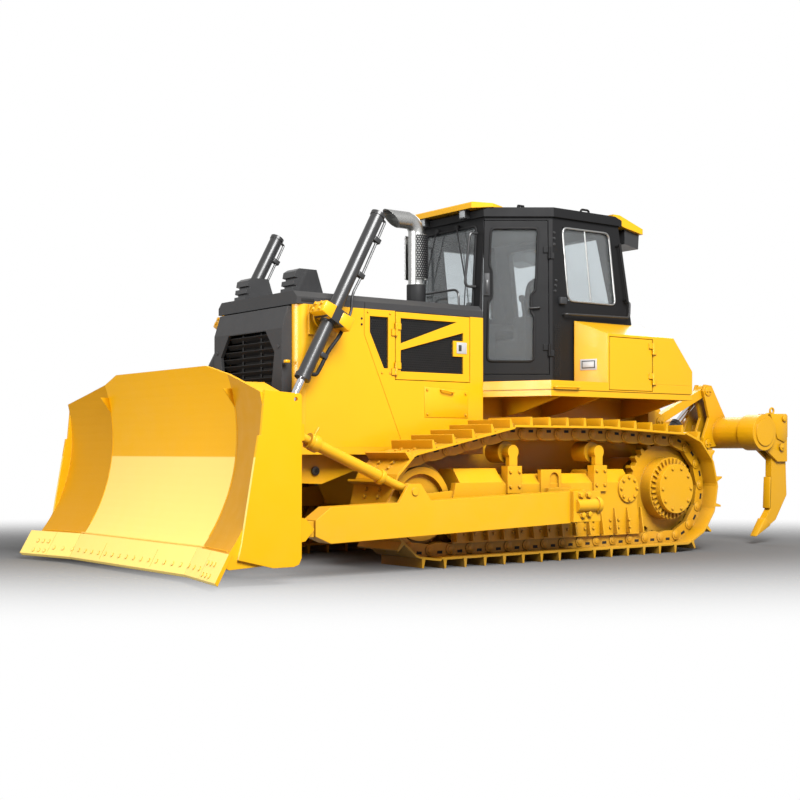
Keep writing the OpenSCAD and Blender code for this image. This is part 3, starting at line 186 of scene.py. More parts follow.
def paintedLight(tree, place, paint, look):
    # painted reflection: paler below a height on what faces forward; painted shade: deeper on the wings
    height = split(tree, place)["Z"]
    way = split(tree, addNode(tree, "NewGeometry").outputs["Normal"])
    low = remap(tree, height, look["paintedLight"] + 0.004, look["paintedLight"] - 0.004)
    front = remap(tree, way["X"], 0.5, 0.6)
    level = calc(tree, "LESS_THAN", calc(tree, "ABSOLUTE", way["Y"]), look["turn"])
    wing = calc(tree, "SUBTRACT", front, level, use_clamp=True)
    paint = blend(tree, wing, paint, look["wing"])
    face = calc(tree, "MULTIPLY", level, front)
    return blend(tree, calc(tree, "MULTIPLY", low, face), paint, look["pale"])


def coated(name, **values):
    # paint, cast iron, rubber and plastic: one recipe with different values
    look = dict(usualCoat, **values)
    finish, tree, shader = newFinish(name)
    tint = useGroup(tree, mottle, Color=look["color"], Scale=look["patch"], Amount=look["vary"])
    rim = useGroup(tree, edge, Radius=look["round"], Amount=look["wear"])
    film = useGroup(tree, dust, Amount=look["dust"], Top=look["dustTop"])["Mask"]
    place = objectPlace(tree)
    paint = tint["Color"]
    # painted reflection on the lower front and painted shade on the wings, where the look asks for them
    if "paintedLight" in look:
        paint = paintedLight(tree, place, paint, look)
    if "grime" in look:
        # painted shade: darker in corners and behind other parts
        shadeMask = addNode(tree, "AmbientOcclusion", [("Distance", 0.3)], samples=6).outputs["AO"]
        paint = blend(tree, remap(tree, shadeMask, 0.85, 0.25, 0.0, look["grime"]), paint, grimeTone)
    paint = blend(tree, rim["Mask"], paint, look["under"])
    paint = blend(tree, film, paint, look["dustColor"])
    rough = remap(tree, noise(tree, place, 6.0, 6.0), 0.3, 0.7, look["rough"] - look["smear"],
                  look["rough"] + look["smear"])
    skin = useGroup(tree, peel, Scale=look["peelScale"], Depth=look["peelDepth"])
    bump = addNode(tree, "Bump", [("Strength", look["bump"]), ("Distance", 0.002), ("Height", skin["Height"]),
                                  ("Normal", rim["Normal"])])
    feed(tree, shader, [("Base Color", paint), ("Roughness", calc(tree, "MULTIPLY_ADD", film, 0.5, rough)),
                        ("Normal", bump.outputs["Normal"]), ("Metallic", look["metal"]),
                        ("Coat Weight", look["coat"]), ("Coat Roughness", look["coatRough"]),
                        ("Specular IOR Level", look["specular"])])
    return finish


def brushed(name, color, rough):
    # bare or plated steel with fine drawn lines
    finish, tree, shader = newFinish(name)
    drawn = addNode(tree, "Mapping", [("Vector", objectPlace(tree)), ("Scale", (1, 1, 30))]).outputs[0]
    lines = noise(tree, drawn, 40.0, 4.0)
    tint = useGroup(tree, mottle, Color=color, Scale=4.0, Amount=0.12)
    rim = useGroup(tree, edge, Radius=0.003, Amount=0.0)
    bump = addNode(tree, "Bump", [("Strength", 0.05), ("Distance", 0.001), ("Height", lines),
                                  ("Normal", rim["Normal"])])
    feed(tree, shader, [("Roughness", remap(tree, lines, 0.3, 0.7, rough * 0.7, rough * 1.4)),
                        ("Base Color", tint["Color"]), ("Normal", bump.outputs["Normal"]), ("Metallic", 1.0)])
    return finish


def pane(name, color, clear):
    # tinted glass: see-through, with faint smears in its gloss
    finish, tree, shader = newFinish(name)
    gloss = remap(tree, noise(tree, objectPlace(tree), 2.5, 5.0), 0.4, 0.8, 0.02, 0.07)
    tint = useGroup(tree, mottle, Color=color, Scale=0.8, Amount=0.05)
    feed(tree, shader, [("Roughness", gloss), ("Base Color", tint["Color"]), ("Transmission Weight", clear),
                        ("IOR", 1.45)])
    return finish


bodyYellow = tone(232, 170, 2)
paleRim = tone(255, 214, 90)
# blade paint with a painted reflection, paler below the given height on forward faces, and painted shade, deeper on the
# wings
moldboard = dict(color=bodyYellow, rough=0.44, specular=0.3, vary=0.04, wear=0.12, dust=0.04, under=paleRim,
                 paintedLight=0.925, pale=tone(246, 214, 116), wing=tone(196, 138, 1))
# some finishes take painted shade in recesses, and the blade's finishes a painted reflection and painted wing shade
finishes = {
    "yellow": coated("panelYellow", color=bodyYellow, rough=0.36, coat=0.2, vary=0.04, wear=0.12, dust=0.05,
                     under=paleRim, round=0.008, grime=0.5),
    "blade": coated("bladeYellow", **moldboard, turn=0.12),
    "edges": coated("edgeYellow", **moldboard, turn=0.6),
    "bright": coated("latchWhite", color=tone(178, 179, 180), rough=0.35, vary=0.05, wear=0.1, dust=0.02, round=0.002),
    "frame": coated("frameYellow", color=tone(230, 168, 2), rough=0.42, coat=0.12, vary=0.07, wear=0.16, dust=0.12,
                    under=tone(255, 206, 80), round=0.007, peelScale=140, bump=0.16, grime=0.65),
    "track": coated("trackYellow", color=tone(224, 164, 3), rough=0.46, coat=0.06, vary=0.1, wear=0.3, dust=0.2,
                    under=tone(170, 150, 110), round=0.005, peelScale=90, bump=0.2, dustTop=0.9, grime=0.6),
    "hood": coated("hoodGrey", color=tone(56, 56, 57), rough=0.45, vary=0.06, wear=0.12, dust=0.08,
                   under=tone(150, 150, 150), specular=0.25),
    "cab": coated("cabCharcoal", color=tone(22, 22, 23), rough=0.55, specular=0.2, vary=0.08, wear=0.14, dust=0.05,
                  under=tone(110, 110, 112), round=0.006),
    "black": coated("cylinderBlack", color=tone(40, 40, 41), rough=0.36, coat=0.25, vary=0.07, wear=0.2, dust=0.06,
                    under=tone(120, 120, 120), round=0.004),
    "dark": coated("meshBlack", color=tone(24, 24, 25), rough=0.6, specular=0.3, vary=0.1, wear=0.2, dust=0.05,
                   under=tone(90, 90, 90), round=0.002),
    # near-black for painted shade: sheets, linings, pockets, slots and holes where a bay or recess would be dark
    "shadeBlack": coated("bayShadow", color=tone(14, 14, 14), rough=0.85, vary=0.2, wear=0.0, dust=0.02),
    "iron": coated("castIron", color=tone(60, 58, 56), rough=0.6, metal=0.3, vary=0.15, wear=0.3, dust=0.2,
                   under=tone(130, 126, 120), peelScale=70, bump=0.3),
    "rubber": coated("sealRubber", color=tone(26, 26, 27), rough=0.7, vary=0.1, wear=0.0, dust=0.06, peelScale=180,
                     bump=0.2, specular=0.3),
    "plastic": coated("trimPlastic", color=tone(44, 45, 47), rough=0.55, vary=0.06, wear=0.05, dust=0.04,
                      under=tone(80, 80, 80), peelScale=320, bump=0.25),
    "chrome": brushed("rodChrome", tone(226, 226, 228), 0.1),
    "steel": brushed("plainSteel", tone(186, 186, 184), 0.3),
    "glass": pane("cabTint", tone(224, 229, 231), 0.94),
    "lens": pane("lampLens", tone(214, 218, 220), 0.5),
    "cushion": coated("seatCover", color=tone(38, 39, 42), rough=0.8, vary=0.15, wear=0.0, dust=0.03, patch=40,
                      peelScale=420, peelDepth=1.0, bump=0.5, specular=0.3),
}

# a name that comes as a left and a right node is given once
nodeFinish = {
    "yellow": ["radiator_guard", "side_panels", "engine_door", "deck", "tank", "tank_door", "fuel_tank", "cab_visors"],
    "blade": ["blade"],
    "edges": ["cutting_edges"],
    "frame": ["hull", "track_frame", "push_arm", "brace", "ripper_mount", "ripper_lower_link", "ripper_upper_links",
              "ripper_beam", "ripper_shanks", "pivot_shafts"],
    "track": ["track", "idlers", "sprockets", "rollers"],
    "hood": ["hood", "grille"],
    "cab": ["cab_frame", "cab_roof", "cab_door", "grab_rails"],
    "dark": ["grille_louvres"],
    "black": ["lamps", "tilt_barrel", "lift_barrel", "ripper_barrels"],
    "chrome": ["tilt_rod", "lift_rod", "ripper_rods"],
    "iron": ["engine", "radiator_core"],
    "steel": ["exhaust"],
    "plastic": ["cab_interior", "seat"],
    "glass": ["cab_glass", "door_glass"],
}
painted = 0
for finish, names in nodeFinish.items():
    for name in names:
        for node in [name] if name in nodes else [name + "_left", name + "_right"]:
            nodes[node].data.materials.clear()
            nodes[node].data.materials.append(finishes[finish])
            painted += 1
print("CAD nodes painted:", painted, "of", len(nodes))


# modelling helpers; outlines and places are in the drawing's millimetres

def leave():
    bpy.ops.object.mode_set(mode="OBJECT")


def rest():
    if bpy.context.object and bpy.context.object.mode != "OBJECT":
        leave()
    bpy.ops.object.select_all(action="DESELECT")


def pick(*pieces):
    rest()
    for piece in pieces:
        piece.select_set(True)
    bpy.context.view_layer.objects.active = pieces[0]
    return pieces[0]


def editAll(piece):
    pick(piece)
    bpy.ops.object.mode_set(mode="EDIT")
    bpy.ops.mesh.select_all(action="SELECT")


def choose(piece, test):
    # into edit mode with only the faces selected whose middle and normal pass the test
    editAll(piece)
    bpy.ops.mesh.select_mode(type="FACE")
    bpy.ops.mesh.select_all(action="DESELECT")
    leave()
    for face in piece.data.polygons:
        face.select = test(face.center, face.normal)
    bpy.ops.object.mode_set(mode="EDIT")


def settle(piece):
    pick(piece)
    bpy.ops.object.transform_apply(location=True, rotation=True, scale=True)
    return piece


def outward(piece):
    editAll(piece)
    bpy.ops.mesh.remove_doubles(threshold=0.00002)
    bpy.ops.mesh.normals_make_consistent(inside=False)
    leave()
    return piece


def modify(piece, kind, **settings):
    pick(piece)
    bpy.ops.object.modifier_add(type=kind)
    change = piece.modifiers[-1]
    for key, value in settings.items():
        setattr(change, key, value)
    bpy.ops.object.modifier_apply(modifier=change.name)
    return piece


def soften(piece, width, steps=2, angle=35):
    return modify(piece, "BEVEL", width=width / 1000, segments=steps, limit_method="ANGLE",
                  angle_limit=math.radians(angle))


def plate(points, push, soft=2):
    # a filled ring moved corner by corner onto the outline, then pushed to its depth
    rest()
    bpy.ops.mesh.primitive_circle_add(vertices=len(points), fill_type="NGON")
    piece = bpy.context.object
    for corner, point in zip(piece.data.vertices, points):
        corner.co = point
    editAll(piece)
    bpy.ops.mesh.extrude_region_move(TRANSFORM_OT_translate=dict(value=[p / 1000 for p in push]))
    leave()
    outward(piece)
    return soften(piece, soft) if soft else piece


def sidePlate(points, y0, y1, soft=2):
    return plate([spot(x, y0, z) for x, z in points], (0, y1 - y0, 0), soft)


def frontPlate(points, x0, x1, soft=2):
    return plate([spot(x0, y, z) for y, z in points], (x1 - x0, 0, 0), soft)


def oblong(a0, b0, a1, b1):
    return [(a0, b0), (a1, b0), (a1, b1), (a0, b1)]


def cube(middle, size):
    # a box about a point of the frame, its size in millimetres
    rest()
    bpy.ops.mesh.primitive_cube_add(size=1, location=middle, scale=[s / 1000 for s in size])
    return settle(bpy.context.object)


def block(low, high, soft=4):
    middle = spot(*[(a + b) / 2 for a, b in zip(low, high)])
    return soften(cube(middle, [b - a for a, b in zip(low, high)]), soft)


def cylinder(sides, radius, depth, place, **settings):
    rest()
    bpy.ops.mesh.primitive_cylinder_add(vertices=sides, radius=radius, depth=depth, location=place, **settings)
    return settle(bpy.context.object)


def disc(place, way, radius, depth, soft=2, sides=28):
    # a round boss that stands on a place and points along a direction
    way = Vector(way).normalized()
    middle = spot(*place) + way * depth / 2000
    turn = way.to_track_quat("Z", "Y").to_euler()
    return soften(cylinder(sides, radius / 1000, depth / 1000, middle, rotation=turn), soft)


def rounded(points, radius, closed, steps=4):
    # each corner swapped for a short curve
    way = []
    for i, point in enumerate(points):
        if not closed and i in (0, len(points) - 1):
            way.append(point)
            continue
        back, ahead = points[i - 1] - point, points[(i + 1) % len(points)] - point
        cut = min(radius / 1000, back.length * 0.45, ahead.length * 0.45)
        a, b = point + back.normalized() * cut, point + ahead.normalized() * cut
        way += [a.lerp(point, k / steps).lerp(point.lerp(b, k / steps), k / steps) for k in range(steps + 1)]
    return way


def tube(points, radius, closed=False, corner=40, ring=2):
    # a bent bar or a rubber bead through the given places
    rest()
    bpy.ops.curve.primitive_bezier_curve_add()
    piece = bpy.context.object
    curve = piece.data
    curve.splines.clear()
    line = curve.splines.new("POLY")
    way = rounded(points, corner, closed)
    line.points.add(len(way) - 1)
    for knot, place in zip(line.points, way):
        knot.co = (*place, 1)
    line.use_cyclic_u = closed
    curve.dimensions = "3D"
    curve.bevel_depth, curve.bevel_resolution, curve.use_fill_caps = radius / 1000, ring, not closed
    pick(piece)
    bpy.ops.object.convert(target="MESH")
    return outward(bpy.context.object)


def rail(look, corner=40):
    return tube([spot(*p) for p in look["path"]], look["radius"], corner=corner)


def join(pieces):
    pick(*pieces)
    if len(pieces) > 1:
        bpy.ops.object.join()
    return pieces[0]


def facing(place, way):
    return Matrix.Translation(place) @ Vector(way).to_track_quat("Z", "Y").to_matrix().to_4x4()


def copied(piece, change):
    twin = piece.copy()
    twin.data = piece.data.copy()
    twin.data.transform(change)
    bpy.context.scene.collection.objects.link(twin)
    return twin


def spread(master, changes):
    # one finished shape copied to many places, joined as one piece
    pieces = [copied(master, change) for change in changes]
    bpy.data.objects.remove(master)
    return join(pieces)


def mirrored(piece):
    twin = copied(piece, Matrix.Diagonal((1, -1, 1, 1)))
    twin.data.flip_normals()
    return twin


def hexBolt(size):
    # washer and chamfered six-sided head, standing on the origin
    washer = cylinder(14, size * 0.00064, size * 0.00012, (0, 0, size * 0.00006))
    head = cylinder(6, size * 0.00052, size * 0.0004, (0, 0, size * 0.0003))
    choose(head, lambda c, n: n.z > 0.9)
    bpy.ops.mesh.inset(thickness=size * 0.00008, depth=size * 0.00004)
    leave()
    return join([head, washer])


def bolts(places, way, size):
    return spread(hexBolt(size), [facing(spot(*p), way) for p in places])


def ring(x, z, radius, count):
    # places round a circle on a side face
    turns = [2 * math.pi * i / count for i in range(count)]
    return [(x + radius * math.cos(t), z + radius * math.sin(t)) for t in turns]


shipped = []


def ship(piece, name, finish, body="machine", smooth=30):
    piece.name = name
    piece.data.name = name
    piece.data.materials.clear()
    piece.data.materials.append(finishes[finish])
    pick(piece)
    bpy.ops.object.shade_smooth_by_angle(angle=math.radians(smooth))
    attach(piece, body)
    shipped.append(piece)
    return piece


def pair(piece, name, finish, body="machine"):
    # the piece on the left and its mirror image on the right
    twin = mirrored(piece)
    return [ship(piece, name + "Left", finish, body.format(side="left")),
            ship(twin, name + "Right", finish, body.format(side="right"))]


# tracks: pin bosses, link pockets and shoe bolts on the chain

chain = dict(y=(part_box("track_left")[0].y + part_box("track_left")[1].y) * 500, pitch=216, plate=115, bossRadius=46,
             bossDepth=9, pinRadius=27, pinDepth=5, pocket=(27, 12), pocketOut=20, pocketSink=4, pocketRise=1.5,
             bolt=30, shoeFace=70, boltAlong=(-44, 18), boltSide=92,
             wheels=[(-1600, 610, 468), (1400, 529, 387), (438, 962, 164), (-620, 962, 164)])


def chainPlaces(shift):
    # place and outward angle of every link along the belt round the four wheels
    legs, angles = [], []
    wheels = chain["wheels"]
    for p, q in zip(wheels, wheels[1:] + wheels[:1]):
        span = math.dist(p[:2], q[:2])
        angles.append(math.atan2(q[1] - p[1], q[0] - p[0]) - math.acos((p[2] - q[2]) / span))
        legs.append(math.sqrt(span ** 2 - (p[2] - q[2]) ** 2))
    arcs = [w[2] * ((angles[i] - angles[i - 1]) % (2 * math.pi)) for i, w in enumerate(wheels)]
    belt = sum(legs) + sum(arcs)
    count = round(belt / chain["pitch"])
    places = []
    for i in range(count):
        s, k = (i + shift) * belt / count % belt, 0
        while s >= legs[k] + arcs[(k + 1) % 4]:
            s -= legs[k] + arcs[(k + 1) % 4]
            k = (k + 1) % 4
        straight = s < legs[k]
        x, z, r = wheels[k if straight else (k + 1) % 4]
        a = angles[k] if straight else angles[k] + (s - legs[k]) / r
        places.append((*offChain((x, z, a), s if straight else 0, r), a))
    return places


def offChain(place, along, out):
    x, z, a = place
    return x + out * math.cos(a) - along * math.sin(a), z + out * math.sin(a) + along * math.cos(a)


def dressTracks():
    joints, links = chainPlaces(0.5), chainPlaces(0)
    faces = [(side, chain["y"] + side * chain["plate"]) for side in (1, -1)]
    bosses, pockets, heads = [], [], []
    for side, face in faces:
        boss = join([disc((0, 0, 0), (0, 0, 1), chain["bossRadius"], chain["bossDepth"], 3, 20),
                     disc((0, 0, chain["bossDepth"]), (0, 0, 1), chain["pinRadius"], chain["pinDepth"], 2, 16)])
        boss.data.transform(Matrix.Translation(-spot(0, 0, 0)))
        bosses.append(spread(boss, [facing(spot(x, face, z), (0, side, 0)) for x, z, a in joints]))
    pair(join(bosses), "trackPins", "track")
    # near-black plates on the links, painted shade of the pockets
    long, tall = chain["pocket"]
    for side, face in faces:
        for link in links:
            corners = [offChain(link, u, v + chain["pocketOut"]) for u, v in oblong(-long, -tall, long, tall)]
            pockets.append(sidePlate(corners, face - chain["pocketSink"], face + side * chain["pocketRise"], 0))
    pair(join(pockets), "trackPockets", "shadeBlack")
    for link in links:
        way = (math.cos(link[2]), 0, math.sin(link[2]))
        for along in chain["boltAlong"]:
            x, z = offChain(link, along, chain["shoeFace"])
            heads += [facing(spot(x, chain["y"] + s * chain["boltSide"], z), way) for s in (-1, 1)]
    pair(spread(hexBolt(chain["bolt"]), heads), "shoeBolts", "track")
    print("tracks dressed:", len(links), "links a side")


dressTracks()


# engine side: perforated sheets with near-black sheets behind them as painted shade, latch, plugs and access panel

mesh = dict(pitch=24, bar=6, thick=2.5, backY=625.5, backThick=3, sheetY=637,
            doorWindows=[[(1270, 2122), (640, 2122), (1270, 1902)],
                         [(1270, 1844), (680, 1999.6), (680, 1660), (1270, 1660)],
                         [(680, 1999.6), (565, 2030), (565, 1955), (680, 1955)],
                         [(680, 1815), (565, 1815), (565, 1660), (680, 1660)]],
            sideWindow=[(1600, 2120), (1600, 1985), (1450, 1680), (1405, 1680), (1405, 2120)])


def hexSheet(points, y, bar=mesh["bar"]):
    # one six-sided ring, repeated over the outline's box and cut along the outline's edges
    pitch = mesh["pitch"]
    radius = pitch / math.sqrt(3)
    low = [min(p[i] for p in points) for i in (0, 1)]
    high = [max(p[i] for p in points) for i in (0, 1)]
    startX = math.floor(low[0] / pitch - 1) * pitch
    startZ = math.floor(low[1] / radius / 3 - 1) * radius * 3
    rest()
    bpy.ops.mesh.primitive_circle_add(vertices=6, radius=radius / 1000, fill_type="NGON",
                                      location=spot(startX, y, startZ), rotation=(math.pi / 2, 0, 0))
    piece = settle(bpy.context.object)
    editAll(piece)
    bpy.ops.mesh.inset(thickness=bar / 2000)
    bpy.ops.mesh.delete(type="FACE")
    leave()
    steps = [(pitch, 0, int((high[0] - startX) / pitch) + 2), (pitch / 2, radius * 1.5, 2),
             (0, radius * 3, int((high[1] - startZ) / radius / 3) + 2)]
    for alongX, alongZ, count in steps:
        modify(piece, "ARRAY", count=count, use_relative_offset=False, use_constant_offset=True,
               constant_offset_displace=(alongX / 1000, 0, alongZ / 1000), use_merge_vertices=True,
               merge_threshold=0.0002)
    middle = [sum(p[i] for p in points) / len(points) for i in (0, 1)]
    editAll(piece)
    for a, b in zip(points, points[1:] + points[:1]):
        out = Vector((b[1] - a[1], 0, a[0] - b[0])).normalized()
        if out.x * (a[0] - middle[0]) + out.z * (a[1] - middle[1]) < 0:
            out = -out
        bpy.ops.mesh.select_all(action="SELECT")
        bpy.ops.mesh.bisect(plane_co=spot(a[0], y, a[1]), plane_no=out, clear_outer=True)
    leave()
    return modify(piece, "SOLIDIFY", thickness=mesh["thick"] / 1000, offset=0)


# a near-black sheet behind the mesh, painted shade of the bay
def shadeSheet(points):
    return sidePlate(points, mesh["backY"] - mesh["backThick"], mesh["backY"], 0)


def dressEngineSide():
    windows = mesh["doorWindows"]
    pair(join([hexSheet(w, mesh["sheetY"]) for w in windows]), "doorMesh", "dark", "engine_door_{side}")
    pair(join([shadeSheet(w) for w in windows]), "doorMeshShade", "shadeBlack", "engine_door_{side}")
    pair(hexSheet(mesh["sideWindow"], mesh["sheetY"]), "sideMesh", "dark")
    pair(shadeSheet(mesh["sideWindow"]), "sideMeshShade", "shadeBlack")
    print("engine side dressed")


dressEngineSide()

latch = dict(low=(526, 1842), high=(642, 1944), grip=(590, 1866, 622, 1920), rise=5, gripRise=6)
access = dict(outline=[(1010, 1537), (512, 1511), (512, 1266), (1006, 1266)], inset=28, rise=4,
              handle=[(831, 1510), (697, 1490)], stand=34, radius=8, bolt=20)
plugs = dict(places=[(1686, 2094), (1686, 2044)], radius=10, rise=6)
engineFace = 650


def dressPanels():
    (x0, z0), (x1, z1) = latch["low"], latch["high"]
    gx0, gz0, gx1, gz1 = latch["grip"]
    face, rise = engineFace, latch["rise"]
    pair(block((x0, face - 2, z0), (x1, face + rise, z1), 3), "doorLatch", "bright", "engine_door_{side}")
    grip = block((gx0, face, gz0), (gx1, face + rise + latch["gripRise"], gz1), 4)
    pair(grip, "doorLatchGrip", "plastic", "engine_door_{side}")
    pair(sidePlate(access["outline"], face - 2, face + access["rise"], 2), "accessPanel", "yellow")
    middle = [sum(p[i] for p in access["outline"]) / 4 for i in (0, 1)]
    corners = [(x + math.copysign(access["inset"], middle[0] - x), face + access["rise"],
                z + math.copysign(access["inset"], middle[1] - z)) for x, z in access["outline"]]
    pair(bolts(corners, (0, 1, 0), access["bolt"]), "accessBolts", "yellow")
    (ax, az), (bx, bz) = access["handle"]
    out = face + access["stand"]
    pair(tube([spot(ax, face, az), spot(ax, out, az), spot(bx, out, bz), spot(bx, face, bz)], access["radius"]),
         "accessHandle", "yellow")
    pair(join([disc((x, face - 1, z), (0, 1, 0), plugs["radius"], plugs["rise"]) for x, z in plugs["places"]]),
         "sidePlugs", "rubber")
    print("panels dressed")


dressPanels()


# exhaust: black base and a perforated sleeve round the pipe

sleeve = dict(x=711, y=150, low=2556, high=2954, radius=109, open=52, bar=13, liningIn=6, liningThick=2,
              baseRadius=89, baseLow=2293, baseHigh=2500)


def dressExhaust():
    low, high, radius = sleeve["low"], sleeve["high"], sleeve["radius"]
    half = math.radians(180 - sleeve["open"]) * radius
    sheet = hexSheet(oblong(-half, low, half, high), 0, sleeve["bar"])
    middle = spot(sleeve["x"], sleeve["y"], 0)
    for v in sheet.data.vertices:
        # the flat sheet is rolled about the pipe, its middle at the rear
        turn = math.pi + (v.co.x + midX) * 1000 / radius
        out = radius / 1000 + v.co.y
        v.co = (middle.x + out * math.cos(turn), middle.y + out * math.sin(turn), v.co.z)
    ship(outward(sheet), "exhaustSleeve", "dark")
    # a near-black lining inside the sleeve, painted shade
    lining = cylinder(60, (radius - sleeve["liningIn"]) / 1000, (high - low) / 1000,
                      middle + Vector((0, 0, (high + low) / 2000)), end_fill_type="NOTHING")
    choose(lining, lambda c, n: abs(math.atan2(c.y - middle.y, c.x - middle.x)) < math.radians(sleeve["open"]))
    bpy.ops.mesh.delete(type="FACE")
    leave()
    ship(modify(lining, "SOLIDIFY", thickness=sleeve["liningThick"] / 1000, offset=0), "sleeveShade", "shadeBlack")
    ship(disc((sleeve["x"], sleeve["y"], sleeve["baseLow"]), (0, 0, 1), sleeve["baseRadius"],
              sleeve["baseHigh"] - sleeve["baseLow"], 6, 40), "exhaustBase", "dark")
    print("exhaust dressed")


dressExhaust()


# cab: beads round the glass, wipers, grab handles, door catches, rails

cab = dict(corner=(275, 470), along=(-0.8008, 0.5989), out=(0.5989, 0.8008), low=1600, top=3130, lean=75,
           rearLow=-1470, rearTop=-1165, sideY=900, bead=11, beadOut=2, beadCorner=45, sideBead=9, sideBeadOut=3,
           sideCorner=60, post=8, postIn=14, bolt=22)
doorWindow = [(150, 3025), (585, 3025), (560, 2450), (520, 2420), (520, 2250), (552, 2210), (545, 1800), (115, 1800),
              (125, 2350), (160, 2390), (160, 2640), (135, 2680)]
sideGlass = [(-420, 3045), (-1030, 3050), (-1125, 2370), (-500, 2370)]
frontGlass = [(-390, 1800), (390, 1800), (410, 3060), (-410, 3060)]
rearGlass = [(-700, 2250), (700, 2250), (640, 3050), (-640, 3050)]


def onDoor(u, z, out):
    (x, y), (ax, ay), (ox, oy) = cab["corner"], cab["along"], cab["out"]
    return spot(x + u * ax + out * ox, y + u * ay + out * oy, z)


def onFront(y, z, out):
    return spot(cab["corner"][0] - cab["lean"] * (z - cab["low"]) / (cab["top"] - cab["low"]) + out, y, z)


def onRear(y, z, out):
    share = (z - cab["low"]) / (cab["top"] - cab["low"])
    return spot(cab["rearLow"] + (cab["rearTop"] - cab["rearLow"]) * share - out, y, z)


grab = dict(path=[(230, 452, 2985), (312, 443, 2985), (350, 413, 2491), (240, 440, 2491)], radius=13)
wiper = dict(pivot=(150, 3078), foot=4, tip=(310, 2560), out=26, arm=7, blade=[(310, 2900), (295, 2330)], bladeOut=16,
             rubber=5, hub=(24, 30))
catch = dict(place=(82, 2402, 138, 2612), sink=4, depth=14, lever=(96, 2426, 124, 2548), leverSink=2, leverThick=12)
stay = dict(ends=[(505, 2286), (598, 2292)], out=24, radius=8, corner=14)
sideRail = dict(path=[(-430, 900, 2239), (-430, 950, 2239), (-1268, 950, 2254), (-1275, 950, 2403),
                      (-1275, 896, 2403)], radius=11)
pillarBolts = [(-318, 2880), (-318, 2933), (-318, 2986), (-331, 2450), (-337, 2500), (-343, 2547)]
vent = [(-322, 2149), (-398, 2149), (-398, 1655), (-322, 1655)]
holder = dict(low=(-450, 896, 2330), high=(-372, 938, 2396))
hoodRail = dict(path=[(360, 340, 2285), (360, 340, 2470), (360, -400, 2470), (360, -400, 2285)], radius=11)


def onDoorPlate(place, foot, thick, soft):
    # a plate on the slanted door, from one distance off it to another
    return plate([onDoor(u, z, foot) for u, z in oblong(*place)], [o * thick for o in cab["out"]] + [0], soft)


def dressCab():
    bead, out, r, side = cab["bead"], cab["beadOut"], cab["beadCorner"], cab["sideY"]
    pair(tube([onDoor(u, z, out) for u, z in doorWindow], bead, True, r), "doorBead", "rubber", "cab_door_{side}")
    pair(tube([spot(x, side + cab["sideBeadOut"], z) for x, z in sideGlass], cab["sideBead"], True, cab["sideCorner"]),
         "sideGlassRim", "steel")
    mid = [((a[0] + b[0]) / 2, (a[1] + b[1]) / 2) for a, b in (sideGlass[:2], sideGlass[2:])]
    pair(tube([spot(x, side - cab["postIn"], z) for x, z in mid], cab["post"]), "sideGlassPost", "steel")
    ship(tube([onFront(y, z, out) for y, z in frontGlass], bead, True, r), "frontBead", "rubber")
    ship(tube([onRear(y, z, out) for y, z in rearGlass], bead, True, r), "rearBead", "rubber")
    pair(rail(grab, 70), "pillarGrab", "black")
    pivot = wiper["pivot"]
    arm = [onFront(*pivot, wiper["foot"]), onFront(*pivot, wiper["out"]), onFront(*wiper["tip"], wiper["out"])]
    pair(join([tube(arm, wiper["arm"]),
               tube([onFront(*end, wiper["bladeOut"]) for end in wiper["blade"]], wiper["rubber"]),
               disc((cab["corner"][0] - cab["lean"] + wiper["foot"], *pivot), (1, 0, 0), *wiper["hub"])]),
         "frontWiper", "rubber")
    depth = catch["depth"]
    pair(onDoorPlate(catch["place"], -catch["sink"], depth + catch["sink"], 8), "doorCatch", "plastic",
         "cab_door_{side}")
    pair(onDoorPlate(catch["lever"], depth - catch["leverSink"], catch["leverThick"], 4), "doorLever", "black",
         "cab_door_{side}")
    near, far = stay["ends"]
    bar = [onDoor(*near, 0), onDoor(*near, stay["out"]), onDoor(*far, stay["out"]), onDoor(*far, 0)]
    pair(tube(bar, stay["radius"], corner=stay["corner"]), "doorStay", "black", "cab_door_{side}")
    pair(rail(sideRail), "sideRail", "black")
    pair(bolts([(x, side - 1, z) for x, z in pillarBolts], (0, 1, 0), cab["bolt"]), "pillarBolts", "black")
    pair(join([hexSheet(vent, side + 6), sidePlate(vent, side - 2, side + 1, 0)]), "cabVent", "dark")
    pair(block(holder["low"], holder["high"], 8), "doorHolder", "plastic")
    ship(rail(hoodRail, 90), "hoodRail", "black")
    print("cab dressed")


dressCab()


# inside the cab: cushions, levers and a screen

cushions = dict(low=(-965, -238, 2053), high=(-492, 238, 2164), backFoot=(-1008, 2188), backHead=(-1094, 2716),
                backWide=228, backThick=100)
levers = dict(path=[(-420, 390, 2245), (-400, 390, 2330), (-390, 390, 2395)], radius=14, way=(0.2, 0, 1), knob=30,
              knobTall=70, knobSoft=22, knobSides=20)
screen = dict(low=(-40, -120, 2160), high=(-5, 120, 2320))


def pillow(low, high):
    piece = cube([(a + b) / 2000 for a, b in zip(low, high)], [b - a for a, b in zip(low, high)])
    piece.data.transform(Matrix.Translation(spot(0, 0, 0)))
    editAll(piece)
    bpy.ops.mesh.subdivide(number_cuts=2)
    leave()
    return modify(piece, "SUBSURF", levels=3, render_levels=3)


def dressInside():
    cushion = pillow(cushions["low"], cushions["high"])
    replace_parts(ship(cushion, "seatCushion", "cushion"), "seat")
    (fx, fz), (hx, hz) = cushions["backFoot"], cushions["backHead"]
    wide, thick = cushions["backWide"], cushions["backThick"]
    back = pillow((fx, -wide, fz), (fx + thick, wide, hz))
    for v in back.data.vertices:
        v.co.x += (hx - fx) / 1000 * (v.co.z * 1000 - fz) / (hz - fz)
    ship(back, "seatBack", "cushion")
    knob = disc(levers["path"][-1], levers["way"], levers["knob"], levers["knobTall"], levers["knobSoft"],
                levers["knobSides"])
    pair(join([rail(levers), knob]), "handLever", "plastic")
    ship(block(screen["low"], screen["high"], 8), "dashScreen", "plastic")
    print("inside dressed")


dressInside()


# lift cylinders: yellow bearing caps, lines along the barrel

